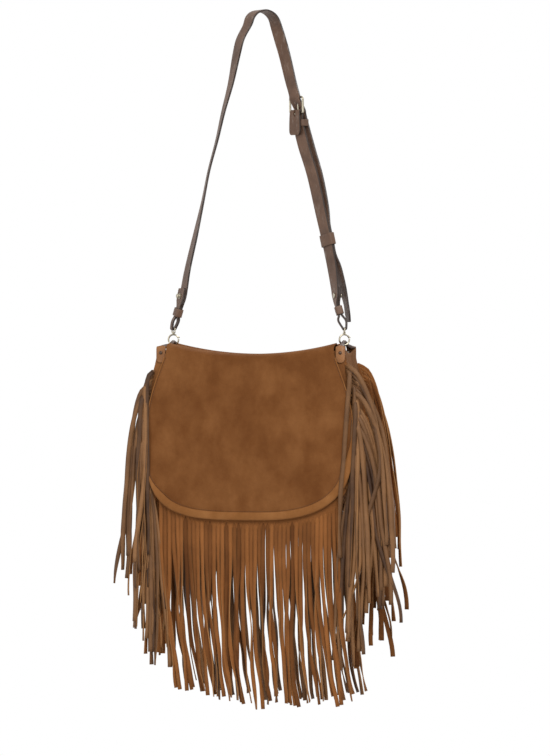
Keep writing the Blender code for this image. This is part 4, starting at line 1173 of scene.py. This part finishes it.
# %% The buckle's place
BUCKLE_YAW, BUCKLE_LENGTH, BUCKLE_HALF, BUCKLE_WIRE = -56, 21 * MM, 12.6 * MM, 1.5 * MM
FOLDED_HALF, PRONG_WIRE = 9.2 * MM, 1.1 * MM


def buckle_matrix():
    across = width_vector(BUCKLE_YAW)
    along = Vector((-0.10, 0.04, 0.99))
    along -= along.dot(across) * across
    at = Vector((44.6, 13.5, -125.6)) * MM
    place = frame_at(at, across, along)
    if (place.to_3x3() @ Vector((0, 1, 0))).dot(outward(BUCKLE_YAW, 1)) < 0:
        place = frame_at(at, -across, along)
    return place


BUCKLE = buckle_matrix()


def in_buckle(outside, up):
    return BUCKLE @ Vector((0, outside, up))


def lower_line(z):
    table = np.array(LOWER_ROUTE)[::-1]
    x, y, yaw = (float(np.interp(z / MM, table[:, 2], table[:, axis])) for axis in (0, 1, 3))
    return Vector((x * MM, y * MM, z)), yaw


def long_strap_route(parts):
    run = tapered(scaled(LONG_ROUTE))
    loop = loop_round_eye(-1, run[0][0], LOOP_YAW[-1], 4.0 * MM, run[:3])
    stations = loop[::-1] + run
    top = BUCKLE_LENGTH / 2
    for outside, up in ((-3.3, 3), (-2.6, -2.5), (2.4, -10.5), (6.6, -18), (7.8, -24)):
        stations.append((in_buckle(outside * MM, top + up * MM), BUCKLE_YAW, STRAP_HALF))
    for z, off in TAIL_OFFSETS:
        point, yaw = lower_line(z * MM)
        stations.append((point + outward(yaw, 1) * off * MM, yaw, STRAP_HALF))
    stations[-1] = (*stations[-1][:2], 6 * MM)
    return smoothed(stations, parts)


def lower_strap_route(parts):
    low = BUCKLE_LENGTH / 2
    round_bar = BUCKLE_WIRE + GAP + STRAP / 2
    stations = [
        (in_buckle(-3.6 * MM, -low - 30 * MM), BUCKLE_YAW, 7 * MM),
        (in_buckle(-3.6 * MM, -low - 26 * MM), BUCKLE_YAW, STRAP_HALF),
        (in_buckle(-3.4 * MM, -low - 12 * MM), BUCKLE_YAW, STRAP_HALF),
    ]
    for angle in (10, 50, 90, 130, 170):
        turn = math.radians(angle)
        point = in_buckle(-round_bar * math.cos(turn), round_bar * math.sin(turn) - low)
        stations.append((point, BUCKLE_YAW, FOLDED_HALF))
    stations.append((in_buckle(0.9 * MM, -low - 11 * MM), BUCKLE_YAW, STRAP_HALF))
    run = tapered(scaled(LOWER_ROUTE[::-1]))[::-1]
    loop = loop_round_eye(1, run[-1][0], LOOP_YAW[1], 5.2 * MM, run[:-4:-1])
    return smoothed(stations + run + loop, parts)


print("buckle at", [round(value / MM, 1) for value in BUCKLE.translation])

# %% [markdown]
# A strap's section is flat, its corners are rounded, and its cut edges carry paint. Solidify
# gives the thickness and puts the edge paint on the rim. Holes are punched with Boolean cutters,
# which are removed once the strap is a plain mesh.

# %% The straps
def punch(name, place, radius, stretch=1.0, depth=9 * MM):
    mesh = bpy.data.meshes.new(name)
    with Editing(mesh) as bm:
        sizes = {"radius1": radius, "radius2": radius, "depth": depth}
        bmesh.ops.create_cone(bm, cap_ends=True, segments=28, **sizes)
        bmesh.ops.scale(bm, vec=(1, stretch, 1), verts=bm.verts)
    mesh.transform(place)
    return new_object(name, mesh)


def strap(name, stations, punches, node, folded=False):
    """folded marks a strap whose own layers meet at a hole, which the cutters have to allow for."""
    def place(u, v):
        point, yaw, half = stations[round(v * (len(stations) - 1))]
        return point + width_vector(yaw) * half * (2 * u - 1)

    piece = grid(name, 6, len(stations) - 1, place, STRAP_LEATHER, EDGE_PAINT)
    thicken(piece, STRAP, rim=1)
    for tool in punches:
        step = piece.modifiers.new("hole", "BOOLEAN")
        step.object = tool
        step.use_self = folded
    settled(soften(piece, 0.45 * MM))
    for tool in punches:
        bpy.data.objects.remove(tool, do_unlink=True)
    seat(piece, replaced=[node])
    run_length(stations)


def run_length(stations):
    return sum((after[0] - before[0]).length for before, after in zip(stations, stations[1:]))


STUD_Z = {-1: -384 * MM, 1: -383 * MM}
END_KEEPER_Z = {-1: -405.4 * MM, 1: -403 * MM}
SLIDING_KEEPER_Z = -308 * MM
TAIL_HOLE_Z = (-190 * MM, -215 * MM, -240 * MM, -265 * MM)
PARTS = 6
LONG_STATIONS, LOWER_STATIONS = long_strap_route(PARTS), lower_strap_route(PARTS)


def line_on(stations, z):
    """Where a strap's middle line first passes a height: its place, yaw and direction."""
    for (before, yaw, _), (after, next_yaw, _) in zip(stations, stations[1:]):
        if (before.z - z) * (after.z - z) <= 0 and before.z != after.z:
            share = (z - before.z) / (after.z - before.z)
            return before.lerp(after, share), yaw + (next_yaw - yaw) * share, (after - before).normalized()


def past_lowest(stations):
    heights = [point.z for point, _, _ in stations]
    return stations[heights.index(min(heights)):]


LEGS = {-1: past_lowest(LONG_STATIONS), 1: LOWER_STATIONS}
TAIL = LONG_STATIONS[-len(LONG_STATIONS) // 3:]


def through_strap(stations, z, side):
    """A placing matrix whose local Z points out of the strap's face at a height."""
    point, yaw, along = line_on(stations, z)
    out = outward(yaw, side)
    return frame_at(point, width_vector(yaw), (out - out.dot(along) * along).normalized())


def stud_frame(side):
    return through_strap(LEGS[side], STUD_Z[side], side)


def through_buckle(up):
    return BUCKLE @ Matrix.Translation((0, 0, up)) @ Matrix.Rotation(math.radians(90), 4, "X")


def stud_hole(side):
    return punch("stud_hole", stud_frame(side) @ Matrix.Translation((0, 0, FOLD / 2)), 1.9 * MM)


TAIL_HOLES = [
    punch("tail_hole", through_strap(TAIL, z, 1), 1.7 * MM, depth=6 * MM) for z in TAIL_HOLE_Z
]
PRONG_HOLE = punch("prong_hole", through_buckle(-1.2 * MM), 2.4 * MM, 1.9)
FOLD_SLOT = punch("fold_slot", through_buckle(1 * MM - BUCKLE_LENGTH / 2), 2.0 * MM, 3.4, 12 * MM)
strap("long_strap_leather", LONG_STATIONS, [PRONG_HOLE, stud_hole(-1), *TAIL_HOLES], "long_strap")
strap("lower_strap_leather", LOWER_STATIONS, [FOLD_SLOT, stud_hole(1)], "lower_strap", folded=True)

# %% [markdown]
# Keepers are short leather loops round the strap's layers. Each is a flattened ring with painted
# edges. The one below the buckle is sewn between the folded tab and the strap, so it goes round
# the strap and the loose end. The one further down slides on its leg.

# %% Keepers
KEEPER, KEEPER_ROOM = 1.3 * MM, 1.0 * MM


def round_layers(side, z, layers_off, half):
    """A keeper's place round a leg and the layer layers_off outside it, with half its sizes."""
    point, yaw, along = line_on(LEGS[side], z)
    if along.z < 0:
        along = -along
    centre = point + outward(yaw, side) * layers_off / 2
    reach = KEEPER_ROOM + KEEPER / 2
    return frame_at(centre, width_vector(yaw), along), half + reach, (layers_off + STRAP) / 2 + reach


def keeper(name, matrix, half_width, half_depth, height, body=ROOT):
    def place(u, v):
        x, y = squared(math.cos(math.tau * u), 0.4), squared(math.sin(math.tau * u), 0.4)
        return matrix @ Vector((half_width * x, half_depth * y, height * (v - 0.5)))

    piece = grid(name + "_leather", 72, 4, place, STRAP_LEATHER, EDGE_PAINT, closed=True)
    settled(soften(thicken(piece, KEEPER, rim=1), 0.3 * MM))
    seat(piece, body, [name])
    around = 4 * (half_width + half_depth) * 0.93      # the rounded corners take the rest
    max(height, 10 * MM)
    height * around


for side, word in SIDES:
    keeper(f"end_keeper_{word}", *round_layers(side, END_KEEPER_Z[side], FOLD, KEPT_HALF), 11 * MM)
SLIDING = round_layers(1, SLIDING_KEEPER_Z, 3.1 * MM, STRAP_HALF)
keeper("sliding_keeper", *SLIDING, 16 * MM, "sliding_keeper")
BELOW_BUCKLE = BUCKLE @ Matrix.Translation((0, 4.8 * MM, -24 * MM))
keeper("buckle_keeper", BELOW_BUCKLE, 12.9 * MM, 6.2 * MM, 9 * MM)

# %% [markdown]
# The bridge straps stand at the mouth's corners. A rounded foot is riveted to the wall on each
# side. Over the mouth the leather is rolled into a cord, where the snap hook clips round it, and
# it is painted dark there: painted shade of the roll, with the dark of its edge paint. The roll
# keeps the leather's width: each cross-section bends into an arc as long as the strap is wide.

# %% Bridge straps
TAB_X, TAB_HALF, TAB = 124.2 * MM, 6.4 * MM, 1.8 * MM
TAB_PEAK, TAB_FOOT, RIVET_Z = -445.4 * MM, -473 * MM, -459.8 * MM
ROLL_TURN = 0.92 * math.tau    # how far round the rolled leather goes
ROLL_RAISED = 1.8 * MM         # the roll stands this much higher, clear of the ring below it
DARK_ROLL_FROM = 29 * MM            # nearer to the middle than this, the leather takes the dark roll finish: painted shade and edge paint
AT_HOOK, TO_HOOK = 10 * MM, 21 * MM    # the middle part lies in the hook, the next is drawn to it


def bridge_route():
    """Places from the front foot to the back one, with the width's share.

    The strap runs in depth and height only, so a place's x is free to carry the roll, 0 to 1."""
    front = -(WALL_Y + WALL / 2 + GAP + 1.3 * MM)
    rounded = ((0, 0.30), (0.8, 0.62), (2.2, 0.85), (4.4, 0.98), (7, 1))
    half = [(front, TAB_FOOT + up * MM, width, 0) for up, width in rounded]
    half += [
        (front, RIVET_Z + 2 * MM, 1, 0), (front + 0.2 * MM, -454.6 * MM, 1, 0),
        (front + 1.6 * MM, -452.0 * MM, 0.99, 0.05), (front + 5 * MM, -451.2 * MM, 0.96, 0.3),
        (front + 10 * MM, -450.8 * MM, 0.92, 0.7), (-16 * MM, -450 * MM, 0.78, 1),
        (-9 * MM, -447.2 * MM, 0.68, 1),
    ]
    back = [(-y, z, width, roll) for y, z, width, roll in reversed(half)]
    route = half + [(0, TAB_PEAK, 0.62, 1)] + back
    return smoothed([(Vector((roll, y, z)), 0, width) for y, z, width, roll in route], 6)


def bridge(name, side):
    stations = bridge_route()
    foot = BAG_X + side * TAB_X

    def place(u, v):
        point, _, width = stations[round(v * (len(stations) - 1))]
        roll = max(point.x, 0.0)
        drawn = smooth_step(1 - (abs(point.y) - AT_HOOK) / TO_HOOK)
        x = foot + (HOOK_X[side] - foot) * drawn
        arc = (2 * u - 1) * TAB_HALF * width
        bend = max(roll, 0.001) * ROLL_TURN / (2 * TAB_HALF * width)
        sink = (1 - math.cos(bend * arc)) / bend
        return Vector((x + math.sin(bend * arc) / bend, point.y, point.z + ROLL_RAISED * roll - sink))

    finishes = BRIDGE_LEATHER, EDGE_PAINT, ROLL_EDGE_PAINT_AND_SHADE
    piece = grid(name + "_leather", 20, len(stations) - 1, place, *finishes)
    # Faces over the roll take the dark roll finish: painted shade, with the dark of the edge paint.
    for face in piece.data.polygons:
        face.material_index = 2 if abs(face.center.y) < DARK_ROLL_FROM else 0
    settled(thicken(piece, TAB, rim=1))
    seat(piece, ROOT, [name])


for side, word in SIDES:
    bridge(f"bridge_strap_{word}", side)

# %% [markdown]
# The metal. Wires are curves with a round bevel, and turned pieces are profiles on a Screw
# modifier. They keep the solids' sizes, with enough sides to shine smoothly.

# %% Metal helpers
def wire(name, points, radius, cyclic=False):
    curve = bpy.data.curves.new(name, "CURVE")
    curve.dimensions = "3D"
    curve.bevel_depth = radius
    curve.bevel_resolution = 6
    curve.use_fill_caps = True
    spline = curve.splines.new("POLY")
    spline.points.add(len(points) - 1)
    for point, place in zip(spline.points, points):
        point.co = (*place, 1)
    spline.use_cyclic_u = cyclic
    guide = new_object(name, curve)
    bpy.context.view_layer.update()
    mesh = bpy.data.meshes.new_from_object(guide.evaluated_get(bpy.context.evaluated_depsgraph_get()))
    bpy.data.objects.remove(guide, do_unlink=True)
    return mesh


def turned(name, profile, place, steps=40):
    """A mesh turned on its Z axis from a profile of (radius, height), then put in place."""
    mesh = bpy.data.meshes.new(name)
    points = [(radius, 0, height) for radius, height in profile]
    mesh.from_pydata(points, [(step, step + 1) for step in range(len(points) - 1)], [])
    piece = new_object(name, mesh)
    lathe = piece.modifiers.new("lathe", "SCREW")
    lathe.steps = lathe.render_steps = steps
    lathe.use_merge_vertices = True
    lathe.merge_threshold = MERGED
    settled(piece)
    made = piece.data
    made.transform(place)
    bpy.data.objects.remove(piece, do_unlink=True)
    return made


def metal(name, meshes, body, node, plate=PALE_METAL):
    """Several metal shapes as one piece."""
    mesh = bpy.data.meshes.new(name)
    with Editing(mesh) as bm:
        for part in meshes:
            bm.from_mesh(part)
        bmesh.ops.remove_doubles(bm, verts=bm.verts, dist=MERGED)
        bmesh.ops.recalc_face_normals(bm, faces=bm.faces)
    mesh.shade_smooth()
    mesh.set_sharp_from_angle(angle=math.radians(38))
    seat(new_object(name, mesh, plate), body, [node])


def ball(radius, height, middle, degrees):
    """A profile from the top of a ball or a dome down to so many degrees, as (radius, height)."""
    return [(radius * math.sin(a), middle + height * math.cos(a)) for a in np.radians(degrees)]


print("metal helpers ready")

# %% [markdown]
# Buckle and prong. The frame is a rounded rectangle of wire. The prong curls round its lower bar
# and rests on the upper one.

# %% Buckle
def rounded_frame(half_width, half_length, corner, steps):
    for quarter, (side, end) in enumerate(((1, 1), (-1, 1), (-1, -1), (1, -1))):
        for step in range(steps + 1):
            angle = math.pi / 2 * (quarter + step / steps)
            yield (
                side * (half_width - corner) + corner * math.cos(angle),
                end * (half_length - corner) + corner * math.sin(angle),
            )


def buckle():
    outline = rounded_frame(BUCKLE_HALF, BUCKLE_LENGTH / 2, 2.6 * MM, 10)
    points = [BUCKLE @ Vector((across, 0, up)) for across, up in outline]
    metal("buckle_frame_wire", [wire("frame", points, BUCKLE_WIRE, cyclic=True)], ROOT, "buckle_frame")
    low = BUCKLE_LENGTH / 2
    curl = BUCKLE_WIRE + 1.5 * GAP + PRONG_WIRE      # radius
    turns = np.radians(range(190, 361, 10))
    line = [(curl * math.cos(turn), curl * math.sin(turn) - low) for turn in turns]
    line += [(curl, 1.5 * MM - low), (curl * 0.85, 0), (curl, low + 2.2 * MM)]
    points = [in_buckle(outside, up) for outside, up in line]
    metal("buckle_prong_wire", [wire("prong", points, PRONG_WIRE)], "prong", "buckle_prong")


buckle()

# %% [markdown]
# Snap hooks. A small eye holds the strap's tongue. Its boss carries the swivel stem of a round
# hook, and a sprung gate with a thumb knob closes the hook's mouth.

# %% Snap hooks
EYE_HALF, EYE_DROP = 5.1 * MM, 6.6 * MM
BOSS_RADIUS, BOSS_HEIGHT, STEM_RADIUS = 1.9 * MM, 2.2 * MM, 0.65 * MM
HOOK_TURN, HOOK_DROP, HOOK_RADIUS, HOOK_WIRE = {-1: 4, 1: 30}, 15.8 * MM, 6.9 * MM, 1.2 * MM
GATE_FROM, GATE_TO, GATE_END_GAP = 8, 60, 5.5      # degrees round the ring, from its right side
ROD_EDGE = 0.25 * MM


def rod(name, radius, low, high, place):
    """A short round rod from height low to height high, its edges rounded."""
    return turned(name, [
        (0, high), (radius - ROD_EDGE, high), (radius, high - ROD_EDGE), (radius, low + ROD_EDGE),
        (radius - ROD_EDGE, low), (0, low),
    ], place)


def on_pin(side, drop, degrees):
    """A place below an eye's bar, turned about the upright pin of its hook."""
    place = Matrix.Translation((HOOK_X[side], 0, EYE_BAR_Z - drop))
    return place @ Matrix.Rotation(math.radians(degrees), 4, "Z")


def eye(side, word):
    place = on_pin(side, 0, 90 - LOOP_YAW[side])
    outline = rounded_frame(EYE_HALF, EYE_DROP / 2, 1.9 * MM, 8)
    points = [place @ Vector((across, 0, up - EYE_DROP / 2)) for across, up in outline]
    boss = rod("boss", BOSS_RADIUS, -EYE_DROP - BOSS_HEIGHT / 2, -EYE_DROP + BOSS_HEIGHT / 2, place)
    meshes = [wire("eye", points, EYE_WIRE, True), boss]
    metal(f"hook_eye_{word}_wire", meshes, f"eye_{word}", f"hook_eye_{word}")


def hook_arc(place, first, last, steps):
    return [
        place @ Vector((HOOK_RADIUS * math.cos(turn), 0, HOOK_RADIUS * math.sin(turn)))
        for turn in np.radians(np.linspace(first, last, steps + 1))
    ]


def snap_hook(side, word):
    place = on_pin(side, HOOK_DROP, HOOK_TURN[side])
    top = HOOK_DROP - EYE_DROP
    neck_top, head_low = top - BOSS_HEIGHT / 2 - GAP, top + BOSS_HEIGHT / 2 + GAP
    metal(f"snap_hook_{word}_wire", [
        wire("ring", hook_arc(place, GATE_TO, 360 + GATE_FROM, 64), HOOK_WIRE),
        rod("neck", 1.7 * MM, HOOK_RADIUS, neck_top, place),
        rod("stem", STEM_RADIUS, neck_top - 0.5 * MM, head_low + 0.5 * MM, place),
        rod("head", 1.3 * MM, head_low, head_low + 0.7 * MM, place),
    ], f"hook_{word}", f"snap_hook_{word}")
    gate = wire("gate", hook_arc(place, GATE_FROM + 7, GATE_TO - GATE_END_GAP, 14), HOOK_WIRE)
    turn = math.radians(GATE_FROM + 15)
    reach = HOOK_RADIUS + HOOK_WIRE
    at = place @ Matrix.Translation((reach * math.cos(turn), 0, reach * math.sin(turn)))
    knob = turned("knob", ball(1.2 * MM, 1.2 * MM, 0, range(0, 181, 15)), at, 24)
    metal(f"hook_gate_{word}_wire", [gate, knob], f"gate_{word}", f"hook_gate_{word}")


for side, word in SIDES:
    eye(side, word)
    snap_hook(side, word)

# %% [markdown]
# Studs and rivets, both turned, and the hidden snap, whose solids keep their shape and take the
# pale metal. A collar stud has a flange on each side of the leather and a round head outside.

# %% Turned fittings
def stud(side, word):
    flange, shank, head = 3.6 * MM, 1.5 * MM, 3.3 * MM
    inner, outer = -(STRAP / 2 + GAP), FOLD + STRAP / 2 + GAP
    profile = ball(head, 1.9 * MM, outer + 3.2 * MM, range(0, 131, 13)) + [
        (1.7 * MM, outer + 1.4 * MM), (1.9 * MM, outer + 0.8 * MM), (flange - 0.3 * MM, outer + 0.7 * MM),
        (flange, outer + 0.4 * MM), (flange, outer), (shank, outer), (shank, inner), (flange, inner),
        (flange, inner - 0.6 * MM), (flange - 0.3 * MM, inner - 0.9 * MM), (0, inner - 0.9 * MM),
    ]
    metal(f"stud_{word}_turned", [turned("stud", profile, stud_frame(side))], ROOT, f"stud_{word}")


def rivet(side, word, face, where):
    wall_in = WALL_Y - WALL / 2
    outside = WALL_Y + WALL / 2 + 2 * GAP + TAB + 0.5 * MM
    profile = ball(2.3 * MM, 1.1 * MM, outside, np.linspace(0, 90, 9)) + [
        (0.9 * MM, outside), (0.9 * MM, wall_in - 0.5 * MM), (1.9 * MM, wall_in - 0.5 * MM),
        (1.9 * MM, wall_in - 1.1 * MM), (0, wall_in - 1.1 * MM),
    ]
    x = side * TAB_X
    at = Vector((BAG_X + x, face * puff(x, RIVET_Z), RIVET_Z))
    place = frame_at(at, Vector((1, 0, 0)), Vector((0, face, 0)))
    name = f"bridge_rivet_{word}_{where}"
    metal(name + "_turned", [turned("rivet", profile, place)], ROOT, name, DULL_METAL)


for side, word in SIDES:
    stud(side, word)
    for face, where in ((-1, "front"), (1, "back")):
        rivet(side, word, face, where)
for node in ("snap_post", "snap_socket"):
    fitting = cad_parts[node]
    fitting.data.materials.clear()
    fitting.data.materials.append(PALE_METAL)

# %% [markdown]
# The stage is a plain pale floor below the bag. The world looks white to the camera and to
# glossy rays, and a soft even grey to everything else, so the browns come out as written.

# %% Stage and light
FLOOR_Z, FLOOR_GREY = -1.22, (0.82, 0.82, 0.82, 1)
AMBIENT = 0.55


def stage():
    mesh = bpy.data.meshes.new("floor")
    with Editing(mesh) as bm:
        bmesh.ops.create_circle(bm, cap_ends=True, segments=96, radius=1.0)
    paint = finish("floor_paint", lambda tree, where: FLOOR_GREY, lambda tree, where: 0.9)
    floor = new_object("floor", mesh, paint)
    floor.location.z = FLOOR_Z


def world_light():
    world = bpy.data.worlds.new("studio")
    bpy.context.scene.world = world
    world.use_nodes = True
    tree = Tree(world.node_tree)
    path = tree.add("ShaderNodeLightPath").outputs
    seen = Signal(tree, path["Is Camera Ray"]).math("MAXIMUM", Signal(tree, path["Is Glossy Ray"]))
    background = world.node_tree.nodes["Background"]
    background.inputs["Color"].default_value = (1, 1, 1, 1)
    strength = seen * (1 - AMBIENT) + AMBIENT
    world.node_tree.links.new(strength.socket, background.inputs["Strength"])


def lamp(name, at, aim, size, power):
    light = bpy.data.lights.new(name, "AREA")
    light.shape = "DISK"
    light.size = size
    light.energy = power
    made = new_object(name, light)
    made.location = at
    made.rotation_euler = (Vector(at) - Vector(aim)).to_track_quat("Z", "Y").to_euler()


stage()
world_light()
lamp("key", (1.1, -2.2, 1.0), (0, 0, -0.5), 1.4, 42)
lamp("fill", (-1.8, -1.8, 0.1), (0, 0, -0.5), 1.6, 11)
lamp("rim", (0.4, 1.8, 0.9), (0, 0, -0.4), 1.2, 20)
bpy.context.scene.view_settings.view_transform = "Standard"
print("stage and lamps ready")
